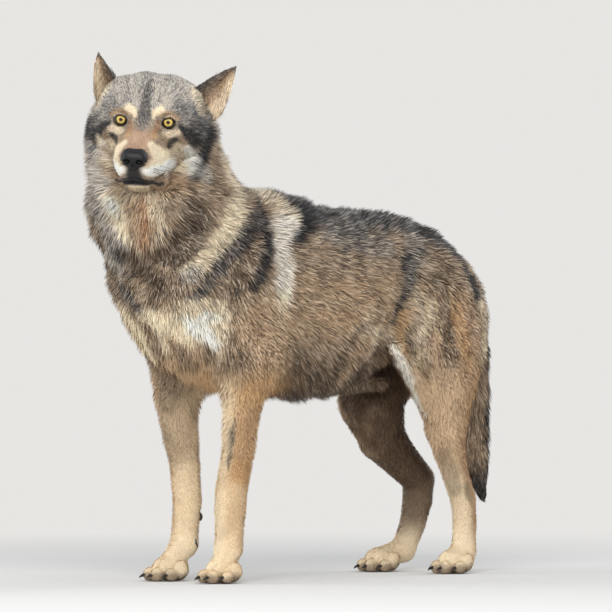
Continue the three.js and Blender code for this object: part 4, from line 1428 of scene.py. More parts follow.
@dataclass
class Skin:
    """One skin from nose to tail, with the shells of both ears.

    Its lattice is finer over the head and finest over the toes.
    """

    step: float = 5.6
    fine: float = 3.2
    finest: float = 2.6
    hide: Hide = field(init=False)
    paint: Paint = field(init=False)
    ears_from: int = 0

    def build(self) -> None:
        """Mesh the skin and lay its markings."""
        lattice = (
            spaced((-162, -120, self.step), (-120, 170, self.fine)),
            spaced((-330, -60, self.fine), (-60, 730, self.step)),
            spaced((-6, 40, self.finest), (40, 650, self.step), (650, 910, self.fine)),
        )
        self.hide = Hide.of_field(FORM.skin, lattice, 16)
        points, normals = self.hide.points, self.hide.normals
        depth = np.maximum(-FORM.outline(points), 0)[:, None]
        tips = points + normals * depth + Lie().at(points, normals) * np.clip(0.6 * depth, 2, 11)
        self.paint = Markings().at(tips, normals)
        self.ears_from = len(points)
        for ear in EARS:
            shell = ear.shell()
            self.hide = self.hide.joined(shell)
            self.paint = self.paint.joined(Markings.ear(shell.points, shell.normals, ear))

    def dress(self) -> bpy.types.Object:
        """Make the skin's piece, darker than the hair over it where that is banded, and with painted shade
        where the hair over it is deep.

        Returns:
            The skin.
        """
        finish = Finish("skin_under_coat", 0.75, 0.2, 420, 0.35, 0.6).material()
        tick = self.paint.tick
        # Painted shade on the skin under deep hair.
        painted_shade_under_coat = ramp(-FORM.outline(self.hide.points), 2, 9)
        shade = (1.04 - 0.2 * tick) * (1 - (0.1 + 0.3 * tick) * painted_shade_under_coat)
        skin = mesh_piece(
            "skin", self.hide.points, self.hide.triangles(), finish, self.hide.normals,
            self.paint.colour * shade[:, None],
        )
        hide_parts(*FLESH)
        return skin


@dataclass(frozen=True)
class Unwrap:
    """A map round an axis: the turn about it across, the way along it up."""

    centre: Point
    axis: Point
    start: Point

    def at(self, p: Array) -> Array:
        """Places on the map from 0 to 1, spread over the whole of it.

        Args:
            p: Points.

        Returns:
            One place for each point.
        """
        along = unit(np.array(self.axis, float))
        first = unit(np.cross(along, np.array(self.start, float)))
        second = np.cross(along, first)
        q = p - np.array(self.centre, float)
        turn = np.arctan2(q @ first, q @ second)
        uv = np.stack([turn, q @ along], 1)
        low, high = uv.min(0), uv.max(0)
        return 0.02 + 0.96 * (uv - low) / (high - low + 1e-9)


@dataclass(frozen=True)
class Patch:
    """One piece of the coat: how many tufts, their width and length, and how their roots unwrap."""

    name: str
    slot: str
    tufts: int
    unwrap: Unwrap
    width: float
    reach: float


UP: Point = (0, 0, 1)
PATCHES = (
    Patch("coat_face", "coat_face", 64000, Unwrap((50, -180, 770), (0.6, -0.8, -0.2), UP), 0.9, 6.0),
    Patch("coat_crown", "coat_grey", 50000, Unwrap((20, -160, 780), (0.6, -0.8, -0.2), UP), 1.3, 9),
    Patch("coat_ears", "coat_ear", 14000, Unwrap((20, -170, 830), (1, 0, 0), UP), 0.9, 8),
    Patch("coat_ruff", "coat_cream", 46000, Unwrap((-5, -110, 650), (0, -0.6, 0.8), (0, 1, 0)), 2.0, 19),
    Patch("coat_neck", "coat_grey", 38000, Unwrap((-5, -110, 650), (0, -0.6, 0.8), (0, 1, 0)), 2.0, 19),
    Patch("coat_chest", "coat_grey", 62000, Unwrap((0, 60, 500), (0, 1, 0), UP), 2.0, 18),
    Patch("coat_loin", "coat_tan", 50000, Unwrap((0, 260, 500), (0, 1, 0), UP), 2.0, 17),
    Patch("coat_rump", "coat_grey", 56000, Unwrap((0, 500, 500), (0, 1, 0), UP), 2.0, 17),
    Patch("coat_forelegs", "coat_tan", 46000, Unwrap((0, 0, 200), (0, 0, 1), (0, 1, 0)), 1.2, 9),
    Patch("coat_hindlegs", "coat_tan", 50000, Unwrap((0, 560, 200), (0, 0, 1), (0, 1, 0)), 1.3, 9.5),
    Patch("coat_tail", "coat_dark", 14000, Unwrap((5, 680, 300), (0, 0, 1), (0, 1, 0)), 1.8, 26),
)
PATCH_NAMES = [patch.name for patch in PATCHES]
FACE = PATCH_NAMES.index("coat_face")


@dataclass
class Coat:
    """Tufts over the skin, a piece for each part of the body.

    A tuft's blade is rooted a little under the skin. It bends where it has gone a part of its reach
    and risen a part of its height, and is a little narrower there than at its root, so that it leaves
    the skin and then lies down.
    """

    skin: Skin
    seed: int = 5
    bend_along: float = 0.42
    bend_up: float = 0.62
    bend_below: float = 0.66
    bend_width: float = 0.85
    rooted: float = 0.6
    lowest: float = 0.4

    def build(self) -> list[bpy.types.Object]:
        """Root, shape and colour every tuft.

        Returns:
            The coat's pieces.
        """
        finish = Finish("coat_hair", 0.62, 0.28, 900, 0.12, 0.0).material()
        triangles = self.skin.hide.triangles()
        a, b, c = (self.skin.hide.points[triangles[:, corner]] for corner in range(3))
        middle = np.stack([a, b, c], 1).mean(1)
        owner = self._owner(middle, triangles[:, 0])
        area = np.linalg.norm(np.cross(b - a, c - a), axis=1) * self._hairy(middle, owner)
        return [
            self._piece(patch, triangles[owner == i], area[owner == i], finish)
            for i, patch in enumerate(PATCHES)
        ]

    def _owner(self, p: Array, first: Array) -> Array:
        """The number of the patch that each triangle belongs to.

        Args:
            p: Middles of the triangles.
            first: Number of each one's first point.

        Returns:
            Patch numbers.
        """
        q = HEAD.into(p)
        x, y, z = p.T
        head = (HEAD.ahead(q) > -119) & (q[:, 2] - 0.12 * q[:, 1] > -116)
        head &= np.square(q).sum(1) < HEAD_BALL**2
        neck = up_neck(p) > 0
        owner = np.zeros(len(p), int)
        for name, chosen in (
            ("loin", y > -math.inf),
            ("chest", y < 165),
            ("rump", y > 375),
            ("forelegs", (z < 392) & (y < 140)),
            ("hindlegs", (z < 400) & (y > 400)),
            ("tail", (z < 470) & (y > 634) & (np.abs(x) < 50)),
            ("neck", neck),
            ("ruff", neck & (y < -118)),
            ("crown", head),
            ("face", head & (q[:, 1] > -38)),
            ("ears", first >= self.skin.ears_from),
        ):
            owner[chosen] = PATCH_NAMES.index(f"coat_{name}")
        return owner

    @staticmethod
    def _hairy(p: Array, owner: Array) -> Array:
        """Share of hair at each place: none on nose, lips and eyes, or under the soles.

        Args:
            p: Middles of the triangles.
            owner: Their patch numbers.

        Returns:
            A share for each, over 1 where the muzzle's hair is denser.
        """
        m = folded(HEAD.into(p))
        slant, half_width, half_height, sole = 0.22, 10.7, 5.1, 3.5
        x, z = m[:, 0] - 41.2, m[:, 2] - 0.4
        eye = np.sqrt(((x + slant * z) / half_width) ** 2 + ((z - slant * x) / half_height) ** 2)
        bare = (m[:, 1] > -24) & (eye < 1) & (owner == FACE)
        bare |= egg(m, (0, 108, -43), (24, 17.5, 20)) < 0
        bare |= Mouth().gap(m) < 4.2 * ramp(m[:, 1], 55, 90) - 0.5
        bare |= p[:, 2] < sole
        dense = np.where(owner == FACE, 1 + 1.2 * ramp(m[:, 1], -30, 30), 1.0)
        return np.where(bare, 0, dense)

    def _piece(
        self, patch: Patch, triangles: Array, area: Array, finish: bpy.types.Material
    ) -> bpy.types.Object:
        """One piece of the coat, of blades rolled a little about their own length.

        Args:
            patch: The patch to cover.
            triangles: The skin's triangles under it.
            area: Their areas, weighted by how dense the hair is.
            finish: The hair's material.

        Returns:
            The piece.
        """
        luck = np.random.default_rng([self.seed, PATCHES.index(patch)])
        root, normal, shade, tick = self._roots(patch, triangles, area, luck)
        if patch.name == "coat_ears":
            depth, lie = self._on_ears(root, normal)
        else:
            depth = np.clip(-FORM.outline(root), 1.3, 48)
            lie = Lie().at(root, normal)
        roll = luck.uniform(-0.9, 0.9, len(root))[:, None]
        lie = unit(lie + np.cross(lie, normal) * luck.normal(0, 0.16, len(root))[:, None])
        across = np.cross(lie, normal) * np.cos(roll) + normal * np.sin(roll)
        points = self._blades(patch, root, (across, lie, normal), depth, luck)
        lift = unit(normal - lie * 0.1)
        normals = np.stack([lift - 0.3 * across, lift + 0.3 * across] * 2 + [lift], 1)
        blade = np.array([[0, 1, 3], [0, 3, 2], [2, 3, 4]])
        faces = (np.arange(len(root))[:, None, None] * 5 + blade).reshape(-1, 3)
        colours = self._bands(root, lie, shade, tick, luck)
        spot = patch.unwrap.at(root)
        cell = 0.0015 * np.array([[-1, -1], [1, -1], [-1, 0], [1, 0], [0, 1]])
        piece = mesh_piece(
            patch.name, points.reshape(-1, 3), faces, finish, unit(normals).reshape(-1, 3),
            colours.reshape(-1, 3), (spot[:, None] + cell).reshape(-1, 2),
        )
        return piece

    def _blades(
        self, patch: Patch, root: Array, axes: tuple[Array, Array, Array], depth: Array,
        luck: np.random.Generator,
    ) -> Array:
        """Corners of the blades: two at the root, two at the bend, and the tip.

        Args:
            patch: The patch to cover.
            root: The roots.
            axes: Unit directions across each blade, along its lie, and out from the skin.
            depth: Depth of the coat at each root.
            luck: Source of chance.

        Returns:
            Five points for each blade, none of them below the floor.
        """
        across, lie, normal = axes
        height = depth * luck.uniform(0.35, 1.0, len(root)) * (1 + 0.16 * ripple(root, 17, 21))
        reach = patch.reach * np.clip(depth / depth.mean(), 0.5, 1.6)
        reach *= luck.uniform(0.7, 1.25, len(root))
        if patch.name == "coat_crown":
            reach *= 1 + 0.9 * np.maximum(*(ear.near(HEAD.into(root)) for ear in EARS))
        half = (patch.width / 2 * luck.uniform(0.75, 1.3, len(root)))[:, None]
        bend = root + lie * (self.bend_along * reach)[:, None] + normal * (self.bend_up * height)[:, None]
        tip = root + lie * reach[:, None] + normal * height[:, None]
        if patch.name != "coat_ears":
            tip = self._settled(tip, normal, depth - height)
            bend = self._settled(bend, normal, depth - self.bend_below * height)
        base = root - normal * self.rooted
        wide, narrow = across * half, across * half * self.bend_width
        points = np.stack([base - wide, base + wide, bend - narrow, bend + narrow, tip], 1)
        points[..., 2] = np.maximum(points[..., 2], self.lowest)
        return points

    def _roots(
        self, patch: Patch, triangles: Array, area: Array, luck: np.random.Generator
    ) -> tuple[Array, Array, Array, Array]:
        """Places, normals, colours and banding at the roots, spread evenly over the area.

        Args:
            patch: The patch to cover.
            triangles: The skin's triangles under it.
            area: Their weights.
            luck: Source of chance.

        Returns:
            Arrays of one row for each tuft.
        """
        total = np.cumsum(area)
        marks = (np.arange(patch.tufts) + luck.uniform(0, 1, patch.tufts)) / patch.tufts * total[-1]
        chosen = triangles[np.searchsorted(total, marks).clip(0, len(total) - 1)]
        u, v = luck.uniform(0, 1, (2, patch.tufts))
        u, v = np.where(u + v > 1, 1 - u, u), np.where(u + v > 1, 1 - v, v)
        weight = np.stack([1 - u - v, u, v], 1)[:, :, None]
        hide, paint = self.skin.hide, self.skin.paint
        place = (hide.points[chosen] * weight).sum(1)
        normal = unit((hide.normals[chosen] * weight).sum(1))
        shade = (paint.colour[chosen] * weight).sum(1)
        tick = (paint.tick[chosen] * weight[:, :, 0]).sum(1)
        return place, normal, shade, tick

    @staticmethod
    def _settled(p: Array, normal: Array, below: Array) -> Array:
        """Points moved along the normal until they lie that far below the coat's outline."""
        gap = FORM.outline(p) + below
        return p - normal * np.clip(gap, -9, 12)[:, None]

    @staticmethod
    def _on_ears(p: Array, n: Array) -> tuple[Array, Array]:
        """Depth and lie of the hair on the ears: longer on the margins of the hollow.

        Args:
            p: The roots.
            n: The skin's normals there.

        Returns:
            A depth and a direction for each.
        """
        left = p[:, 0] > 50
        depth, lie = np.zeros(len(p)), np.zeros((len(p), 3))
        for ear, chosen in zip(EARS, (left, ~left), strict=True):
            across, t = ear.into(p[chosen])
            inside = ramp(n[chosen] @ ear.axes[:, 1], -0.1, 0.3)
            depth[chosen] = 1.8 + 3.2 * inside * ramp(np.abs(across), 0.2, 0.8) * ramp(t, 0.95, 0.5)
            depth[chosen] += 6 * inside * ramp(t, 0.45, 0.0) * ramp(across * ear.margin, -0.5, 0.3)
            way = ear.axes[:, 2] - 0.45 * np.sign(across)[:, None] * ear.axes[:, 0] * inside[:, None]
            lie[chosen] = way + 0.25 * ripple(p[chosen], 9, 31)[:, None] * ear.axes[:, 0]
        return depth, unit(lie - n * (lie * n).sum(1, keepdims=True))

    @staticmethod
    def _bands(root: Array, lie: Array, shade: Array, tick: Array, luck: np.random.Generator) -> Array:
        """Colours up each tuft: dark at the root, partly its banding and partly painted shade deep in the
        coat, its own colour, then a pale or a dark tip.

        Args:
            root: The roots.
            lie: The lie of the hair there.
            shade: The coat's colour there.
            tick: How strongly the hairs are banded there.
            luck: Source of chance.

        Returns:
            Five colours for each tuft.
        """
        streak = root - lie * (root * lie).sum(1, keepdims=True) * 0.6
        wave = ripple(root * (1, 1, 0.5), 17, 43)
        lock = 0.72 * ripple(streak, 4.6, 41) + 0.45 * ripple(streak, 9, 42) + 0.26 * wave
        lock += luck.normal(0, 0.3, len(root))
        pale = (ramp(lock, 0.0, 0.8) * tick)[:, None]
        dark = (ramp(-lock, 0.0, 0.8) * tick)[:, None]
        own = shade * np.clip(1.12 + 0.22 * lock * (0.15 + 0.85 * tick), 0.7, 1.45)[:, None]
        light = own + (CREAM.shade - own) * pale * 0.75
        light = light + (BLACK.shade - light) * dark * 0.6
        black = (luck.uniform(0, 1, len(root)) < 0.18 * tick)[:, None]
        end = own + (WHITE.shade - own) * pale * 0.8
        end = end + (BLACK.shade - end) * np.maximum(dark * 0.85, black * 0.75)
        # Darker roots: painted shade deep in the coat, stronger where the hairs are banded.
        deep = own * (0.94 - 0.45 * tick)[:, None]
        return np.clip(np.stack([deep, deep, light, light, end], 1), 0, 1)


# ---- Eyes, nose, mouth, claws ----


def tube(path: Array, radii: Array, sides: int = 8) -> Hide:
    """A round tube along a path, closed at both ends.

    Each ring lies square to the path, on the axes v and w, where v is the path's direction crossed
    with a fixed up and w is v crossed with the direction.

    Args:
        path: Points along the middle.
        radii: Radius at each point.
        sides: Points in each ring.

    Returns:
        The tube.
    """
    along = unit(np.gradient(path, axis=0))
    up = np.array([0.1, 0.2, 1.0])
    v = unit(np.cross(along, up))
    w = np.cross(along, v)
    angle = np.linspace(0, 2 * math.pi, sides, endpoint=False)
    ring = v[:, None] * np.cos(angle)[None, :, None] + w[:, None] * np.sin(angle)[None, :, None]
    return Hide.of_grid(path[:, None] + ring * radii[:, None, None])


def plain_piece(
    name: str, parts: list[Hide], finish: bpy.types.Material, colour: Point
) -> bpy.types.Object:
    """One piece of a single colour from several small surfaces.

    Args:
        name: The piece's name.
        parts: The surfaces.
        finish: Its material.
        colour: Its display colour.

    Returns:
        The piece.
    """
    whole = reduce(Hide.joined, parts)
    colours = np.tile(colour, (len(whole.points), 1))
    return mesh_piece(name, whole.points, whole.triangles(), finish, None, colours)


@dataclass(frozen=True)
class Eyes:
    """Both eyeballs, looking a little to the head's left and up, in almond lids."""

    iris: float = 8.2
    pupil: float = 2.7
    gaze: Point = (0.07, 0.97, 0.17)
    inner: float = 12.6
    outer: float = 10.8
    upper: float = 5.2
    lower: float = 6.7
    slant: float = 13.0

    def axes(self, side: int) -> Array:
        """Columns: towards the outer corner, up along the lids, and out along the gaze.

        Args:
            side: 1 for the left eye and -1 for the right.

        Returns:
            A 3 by 3 array, left-handed on one side.
        """
        out = unit(np.array(self.gaze))
        across = unit(np.cross(out, (0, 0, 1)))
        across = across * (1 if across[0] * side > 0 else -1)
        up = np.cross(out, across)
        up = up * (1 if up[2] > 0 else -1)
        cos, sin = math.cos(math.radians(self.slant)), math.sin(math.radians(self.slant))
        return np.stack([across * cos + up * sin, up * cos - across * sin, out], 1)

    def centre(self, side: int) -> Array:
        """Middle of the eyeball, in the head's frame."""
        return np.array(FORM.eye) * (side, 1, 1)

    def build(self) -> list[bpy.types.Object]:
        """Make both eyeballs and both pairs of lids.

        Returns:
            The pieces.
        """
        wet = Finish("wet_eye", 0.12, 0.15, 900, 0.1, 0.0, coat=0.15).material()
        rim = Finish("eyelid_rim", 0.5, 0.35, 700, 0.2, 0.4).material()
        pieces = []
        for name, side in SIDES.items():
            ball, colours = self._ball(side)
            eye = mesh_piece(f"eyeball_{name}", ball.points, ball.triangles(), wet, ball.normals, colours)
            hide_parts(f"eye_{name}")
            lids, shade = self._lids(side)
            lid = mesh_piece(f"eyelids_{name}", lids.points, lids.triangles(), rim, lids.normals, shade)
            pieces += [eye, lid]
        return pieces

    def _ball(self, side: int) -> tuple[Hide, Array]:
        """A ball of rings about the gaze, with a low bulge over the iris.

        Ring angles run as t to the power 1.5, so that they crowd at the front, where the colours are:
        pupil, amber iris with darker rays and rim, then dark brown.

        Args:
            side: 1 for the left eye and -1 for the right.

        Returns:
            The ball, and the colours at its points.
        """
        t = np.linspace(1, 0.01, 46)[:, None] ** 1.5 * math.pi
        turn = np.linspace(0, 2 * math.pi, 48, endpoint=False)[None, :]
        radius = FORM.eye_radius + 0.7 * np.exp(-np.square(t / 0.5))
        off = radius * np.sin(t)
        local = np.stack([off * np.cos(turn), off * np.sin(turn), radius * np.cos(t) + 0 * turn], -1)
        rings = HEAD.out(local @ self.axes(side).T + self.centre(side))
        ball = Hide.of_grid(rings)
        out = ball.points - HEAD.out(self.centre(side))
        if (out * ball.normals).sum() < 0:
            ball = Hide.of_grid(rings[:, ::-1])
            turn = turn[:, ::-1]
        off = np.where(t > math.pi / 2, 30, off) + 0 * turn
        ray = np.sin(turn * 23) * 0.5 + np.sin(turn * 41 + 1) * 0.5
        amber, gold = np.array([0.70, 0.56, 0.26]), np.array([0.86, 0.77, 0.47])
        iris = amber + (gold - amber) * (0.5 + 0.35 * ray * ramp(off, 3, 6))[..., None]
        iris = iris * (1 - 0.75 * ramp(off, self.iris - 1.6, self.iris))[..., None]
        iris = iris * (1 - 0.45 * ramp(off, self.pupil + 1.2, self.pupil))[..., None]
        dark = np.array([0.05, 0.035, 0.03])
        colours = dark + (iris - dark) * (ramp(off, self.pupil - 0.25, self.pupil + 0.25)
                                          * ramp(off, self.iris + 0.4, self.iris))[..., None]
        flat = colours.reshape(-1, 3)
        return ball, np.concatenate([flat, [dark], [dark]])

    def _lids(self, side: int) -> tuple[Hide, Array]:
        """Lids as rings of one almond, from a sharp edge on the ball out under the hair.

        The almond's height falls as the sine of the turn to the power 1.35, and to 1.7 towards the
        inner corner; rings lie on the ball near the edge, rise by the lid's thickness and sink back
        under the skin.

        Args:
            side: 1 for the left eye and -1 for the right.

        Returns:
            The lids, and their colours.
        """
        turn = np.linspace(0, 2 * math.pi, 72, endpoint=False)
        u = np.where(np.cos(turn) > 0, self.outer, self.inner) * np.cos(turn)
        bend = np.where(np.cos(turn) > 0, 1.35, 1.7)
        v = np.where(np.sin(turn) > 0, self.upper, -self.lower) * np.abs(np.sin(turn)) ** bend
        grow = np.array([-0.1, 0.0, 0.3, 0.8, 1.4, 2.2, 5.5])[:, None]
        rise = np.array([-1.2, 0.2, 0.8, 1.0, 0.8, 0.0, -3.0])[:, None]
        a, b = u + grow * np.cos(turn), v + grow * np.sin(turn)
        off = np.sqrt(a * a + b * b)
        ball_edge, fall = 11.6, 0.55
        depth = np.sqrt(FORM.eye_radius**2 - np.minimum(off, ball_edge) ** 2)
        depth = depth - fall * np.maximum(off - ball_edge, 0)
        local = np.stack([a, b, depth + rise], -1)
        rings = HEAD.out(local @ self.axes(side).T + self.centre(side))
        lids = Hide.of_grid(rings, capped=False)
        if (lids.normals @ HEAD.vector(np.array(self.gaze))).mean() < 0:
            lids = Hide.of_grid(rings[:, ::-1], capped=False)
        black, brown = np.array([0.045, 0.04, 0.04]), FAWN.shade
        share = ramp(np.arange(len(grow)), 3.0, 5.0)[:, None, None] * 0.6
        return lids, np.broadcast_to(black + (brown - black) * share, rings.shape).reshape(-1, 3)


@dataclass(frozen=True)
class Nose:
    """A pebbled nose pad: a wide top over a narrower foot, with nostrils and a groove between."""

    step: float = 1.15
    colour: Point = (0.095, 0.094, 0.102)

    def shape(self, q: Array) -> Array:
        """Distance to the pad, in the head's frame.

        Args:
            q: Points in the head's frame.

        Returns:
            A distance for each.
        """
        m = folded(q)
        wide = np.concatenate([np.maximum(m[:, :1] - 8, 0), m[:, 1:]], 1)
        d = egg(wide, (0, 103, -40.5), (15, 19, 13))  # top
        d = smooth_min(d, egg(q, (0, 106, -52), (13.5, 15, 13)), 8)  # foot
        d = smooth_min(d, egg(m, (13.5, 108, -47.5), (9, 13, 9.5)), 6)  # wings
        d = smooth_max(d, -egg(m, (11, 123.5, -48.5), (6, 9, 4.6)), 2.5)  # nostrils
        d = smooth_max(d, -egg(m, (20, 114, -51), (5, 8, 1.6)), 2)  # slits beside them
        return smooth_max(d, -egg(m, (0, 125, -58), (1.0, 8, 9)), 2)  # groove

    def build(self) -> bpy.types.Object:
        """Mesh the pad in the head's frame, darker below, with a painted sheen lightening its top and
        painted shade in the nostrils.

        Returns:
            The nose.
        """
        spans = ((-27, 28), (78, 128), (-68, -20))
        lattice = tuple(np.arange(low, high, self.step) for low, high in spans)
        pad = Hide.of_field(self.shape, lattice, 4)
        colours = np.tile(self.colour, (len(pad.points), 1))
        # Painted sheen: the top of the pad lighter grey, as if catching the light from above; below it the
        # pad is near black.
        colours *= 0.2 + 0.8 * ramp(pad.points[:, 2:], -48, -33)
        # Painted shade inside the nostrils.
        hollow = ramp(egg(folded(pad.points), (11, 121, -48.5), (7.5, 9, 5.5)), 0.5, -1)
        colours *= 1 - 0.8 * hollow[:, None]
        finish = Finish("nose_leather", 0.4, 0.35, 900, 0.25, 0.9).material()
        # The head's frame is left-handed, so its faces turn over on the way out to the world.
        faces = pad.triangles()[:, ::-1]
        points, normals = HEAD.out(pad.points), HEAD.vector(pad.normals)
        nose = mesh_piece("nose_pad", points, faces, finish, normals, colours)
        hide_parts("nose")
        return nose


@dataclass(frozen=True)
class Mouth:
    """The dark line of closed lips, and the whiskers on each side."""

    line: tuple[Point, ...] = (
        (0, 97, -83), (10, 95, -85), (20, 87, -89), (27, 61, -95), (36, 42, -100), (41, 37, -99),
        (44, 34, -97),
    )
    whiskers: int = 9

    def path(self) -> Array:
        """The left half of the line, drawn through its corners and laid just under the outline.

        Returns:
            Points in the head's frame.
        """
        corners = np.array(self.line, float)
        table = np.column_stack([np.arange(len(corners)), corners])
        s = np.linspace(0, len(corners) - 1, 49)
        path = HEAD.out(np.stack([station(table, s, column) for column in (1, 2, 3)], 1))
        return HEAD.into(laid_on(FORM.outline, path, 0.8))

    def gap(self, m: Array) -> Array:
        """Distance from the line of the lips.

        Args:
            m: Points in the head's frame, on its left side.

        Returns:
            A distance for each point.
        """
        corners = self.path()[::4]
        corners = np.column_stack([corners, np.ones(len(corners))])
        return Band(BLACK, tuple(map(tuple, corners))).nearest(m)

    def build(self) -> list[bpy.types.Object]:
        """Make lips and whiskers.

        Returns:
            The pieces.
        """
        lip = Finish("lip", 0.45, 0.4, 700, 0.2, 0.4).material()
        left = self.path()
        path = HEAD.out(np.concatenate([left[:0:-1] * (-1, 1, 1), left]))
        front = 1 - np.abs(np.linspace(-1, 1, len(path)))
        radii = 0.5 + 2.0 * ramp(front, 0.45, 0.95)
        band = tube(path, radii * ramp(front, 0.02, 0.22))
        lips = mesh_piece("lips", band.points, band.triangles(), lip, band.normals,
                          np.tile((0.06, 0.055, 0.055), (len(band.points), 1)))
        return [lips, self._whiskers()]

    def _whiskers(self) -> bpy.types.Object:
        """Make all the whiskers as one piece.

        Returns:
            The whiskers.
        """
        luck = np.random.default_rng(7)
        hairs = [self._whisker(side, luck) for side in SIDES.values() for _ in range(self.whiskers)]
        finish = Finish("whisker_hair", 0.5, 0.3, 200, 0.2, 0.0).material()
        piece = plain_piece("whiskers", hairs, finish, (0.2, 0.18, 0.17))
        return piece

    @staticmethod
    def _whisker(side: int, luck: np.random.Generator) -> Hide:
        """A fine whisker, drooping as the square of the way along.

        Args:
            side: 1 for the left and -1 for the right.
            luck: Source of chance.

        Returns:
            The whisker.
        """
        place = np.array([side * luck.uniform(24, 36), luck.uniform(66, 92), luck.uniform(-74, -60)])
        root = laid_on(FORM.skin, HEAD.out(place)[None])
        way = unit(np.array([side, luck.uniform(-0.5, 0.1), luck.uniform(-0.35, 0.1)]))
        length, droop, radius = luck.uniform(28, 46), 7.0, 0.3
        t = np.linspace(0, 1, 8)[:, None]
        path = root + HEAD.vector(way) * length * t - np.array([0, 0, droop]) * t * t
        return tube(path, radius * (1 - 0.7 * t[:, 0]), 3)


@dataclass(frozen=True)
class Claws:
    """Blunt curved claws, one on each toe, and each foreleg's dewclaw and wrist pad."""

    length: float = 14.6
    drop: float = 5.0
    radius: float = 3.4
    spur_root: Point = (21, 5, 8)
    spur_way: Point = (0.55, -0.1, -0.82)
    spur_length: float = 18.0
    spur_radius: float = 2.9
    pad_height: float = 112.0
    pad_radius: float = 5.5

    def build(self) -> bpy.types.Object:
        """Make them all as one piece.

        Returns:
            The claws.
        """
        claws = [self._claw(LIMBS[name], toe) for name in PAWS for toe in TOES]
        spurs = [spur for name in PAWS[:2] for spur in self._spurs(LIMBS[name])]
        finish = Finish("claw_horn", 0.4, 0.45, 500, 0.3, 0.3).material()
        piece = plain_piece("claws", claws + spurs, finish, (0.17, 0.14, 0.12))
        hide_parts(*(f"claw_{name}_{i}" for name in PAWS for i in range(1, 5)))
        return piece

    def _claw(self, limb: Limb, toe: Point) -> Hide:
        """A claw: its radius falls as the root of the way left, and it drops as the way's square.

        Args:
            limb: The leg.
            toe: The toe's place on the paw, and its radius.

        Returns:
            The claw.
        """
        x, y, r = toe
        t = np.linspace(0, 0.985, 12)
        axes = axes_of(limb.turn)
        root = axes @ np.array([x, y - r * 1.5, TOE_HEIGHT - 1]) + np.array([*limb.paw, 0])
        path = root + np.outer(t * self.length, axes @ np.array([0, -1, 0]))
        path[:, 2] -= self.drop * t * t
        return tube(path, self.radius * np.sqrt(1 - t), 12)

    def _spurs(self, limb: Limb) -> tuple[Hide, Hide]:
        """A foreleg's dewclaw, low on its inner side, and the small pad behind its wrist.

        Args:
            limb: The foreleg.

        Returns:
            Dewclaw and pad.
        """
        upper, lower = np.array(limb.joints[-2]), np.array(limb.joints[-1])
        inward = np.array([-np.sign(lower[0]), 1, 1])
        t = np.linspace(0, 0.985, 10)
        root, way = lower[:3] + inward * self.spur_root, inward * self.spur_way
        path = root + np.outer(t * self.spur_length, way)
        dewclaw = tube(path, self.spur_radius * np.sqrt(1 - t), 10)
        wrist = upper + (lower - upper) * (upper[2] - self.pad_height) / (upper[2] - lower[2])
        t = np.linspace(0.02, 0.98, 12)
        path = wrist[:3] + inward * (0.54 * wrist[3], 0.72 * wrist[3], 8) + np.outer(t, (0, 2, -16))
        return dewclaw, tube(path, self.pad_radius * np.sqrt(np.sin(math.pi * t)), 12)


# ---- Studio ----


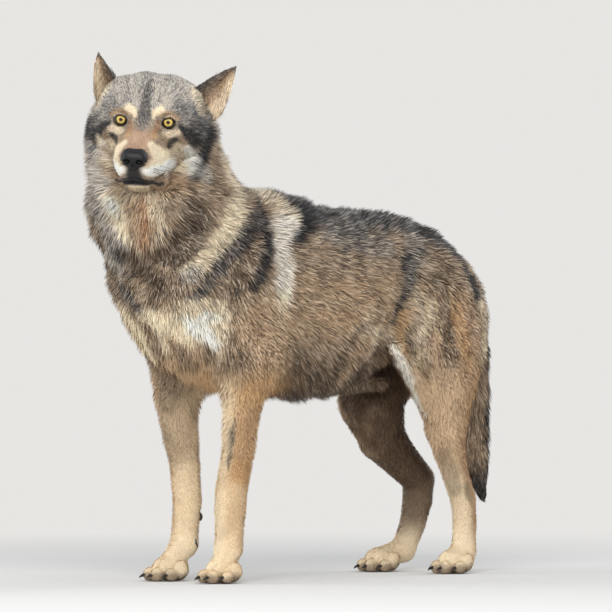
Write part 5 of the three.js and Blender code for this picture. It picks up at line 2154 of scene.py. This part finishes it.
@dataclass(frozen=True)
class Studio:
    """Pale floor and surround, soft lights and the camera."""

    azimuth: float = 44.0
    elevation: float = -0.3
    distance: float = 10.0
    lens: float = 336.13
    target: Point = (0.1757, 0.0621, 0.4847)
    pale: Point = (0.80, 0.79, 0.77)

    def build(self) -> None:
        """Set up the whole studio."""
        bpy.context.scene.view_settings.view_transform = "Standard"
        self._world()
        self._floor()
        self._lamps()
        self._camera()

    def _world(self) -> None:
        """A soft even sky, and the plain pale colour for the camera and in reflections."""
        world = bpy.data.worlds.new("surround")
        bpy.context.scene.world = world
        world.use_nodes = True
        tree = world.node_tree
        light = tree.nodes["Background"]
        feed(tree, light, {"Color": (0.93, 0.96, 1.0, 1), "Strength": 0.55})
        seen = add_node(tree, "Background", {"Color": (*self.pale, 1), "Strength": 1.0})
        rays = add_node(tree, "LightPath", {}).outputs
        either = add_node(tree, "Math", {
            0: rays["Is Camera Ray"], 1: rays["Is Transmission Ray"],
        }, operation="MAXIMUM")
        mix = add_node(tree, "MixShader", {
            "Fac": either.outputs[0], 1: light.outputs["Background"], 2: seen.outputs["Background"],
        })
        feed(tree, tree.nodes["World Output"], {"Surface": mix.outputs["Shader"]})

    def _floor(self) -> None:
        """A wide pale disc under the feet, which fades to the surround with distance."""
        turn = np.linspace(0, 2 * math.pi, 128, endpoint=False)
        radii = np.array([0.0001, 0.6, 1.2, 2.0, 3.2, 5.0, 9.0, 16.0])[:, None]
        below = np.full((len(radii), len(turn)), -0.0004)
        rings = np.stack([radii * np.cos(turn), radii * np.sin(turn), below], -1)
        sheet = Hide.of_grid(rings, capped=False)
        mesh = bpy.data.meshes.new("floor")
        mesh.from_pydata(sheet.points.tolist(), [], sheet.quads.tolist())
        mesh.materials.append(self._floor_finish())
        floor = bpy.data.objects.new("floor", mesh)
        bpy.context.scene.collection.objects.link(floor)

    def _floor_finish(self) -> bpy.types.Material:
        """Matt pale floor; beyond two metres or so it turns to the surround's own colour.

        Returns:
            The material.
        """
        made = bpy.data.materials.new("pale_floor")
        made.use_nodes = True
        tree = made.node_tree
        shader = tree.nodes["Principled BSDF"]
        feed(tree, shader, {"Base Color": (0.74, 0.73, 0.71, 1), "Roughness": 0.9})
        place = add_node(tree, "TexCoord", {}).outputs["Object"]
        length = add_node(tree, "VectorMath", {0: place}, operation="LENGTH")
        fade = add_node(tree, "MapRange", {
            "From Min": 0.9, "From Max": 2.6, "Value": length.outputs["Value"],
        }, interpolation_type="SMOOTHSTEP")
        rays = add_node(tree, "LightPath", {}).outputs
        share = add_node(tree, "Math", {
            0: fade.outputs["Result"], 1: rays["Is Camera Ray"],
        }, operation="MULTIPLY")
        glow = add_node(tree, "Emission", {"Color": (*self.pale, 1)})
        mix = add_node(tree, "MixShader", {
            "Fac": share.outputs["Value"], 1: shader.outputs["BSDF"], 2: glow.outputs["Emission"],
        })
        feed(tree, tree.nodes["Material Output"], {"Surface": mix.outputs["Shader"]})
        return made

    def _lamps(self) -> None:
        """A broad key light from above and in front, a fill and a soft back light."""
        for name, place, size, watts in (
            ("key", (2.4, -2.6, 2.2), 2.4, 120),
            ("fill", (-2.4, -2.4, 1.4), 2.4, 45),
            ("back", (0.6, 3.0, 2.4), 2.2, 35),
        ):
            lamp = bpy.data.lights.new(name, "AREA")
            lamp.size = size
            lamp.energy = watts
            light = bpy.data.objects.new(name, lamp)
            light.location = place
            aim = np.array([0, 0, 0.45]) - np.array(place)
            light.rotation_euler = self._towards(aim)
            bpy.context.scene.collection.objects.link(light)

    @staticmethod
    def _towards(aim: Array) -> tuple[float, float, float]:
        """Turn that points an object's -Z along aim, with its Y upwards."""
        flat = math.hypot(aim[0], aim[1])
        return math.atan2(flat, -aim[2]), 0.0, math.atan2(-aim[0], aim[1])

    def _camera(self) -> None:
        """A long lens at the height of the chest, level with the wolf."""
        a, e = math.radians(self.azimuth), math.radians(self.elevation)
        back = np.array([math.sin(a) * math.cos(e), -math.cos(a) * math.cos(e), math.sin(e)])
        camera = bpy.data.cameras.new("camera")
        camera.lens = self.lens
        camera.sensor_width = 36
        camera.clip_end = 100
        holder = bpy.data.objects.new("camera", camera)
        holder.location = np.array(self.target) + OFFSET * MM + back * self.distance
        holder.rotation_euler = self._towards(-back)
        bpy.context.scene.collection.objects.link(holder)
        bpy.context.scene.camera = holder


def main() -> None:
    """Build the wolf and its studio."""
    logging.basicConfig(level=logging.INFO, format="%(name)s: %(message)s")
    skin = Skin()
    skin.build()
    skin.dress()
    Coat(skin).build()
    Eyes().build()
    Nose().build()
    Mouth().build()
    Claws().build()
    Studio().build()


if __name__ == "__main__":
    main()
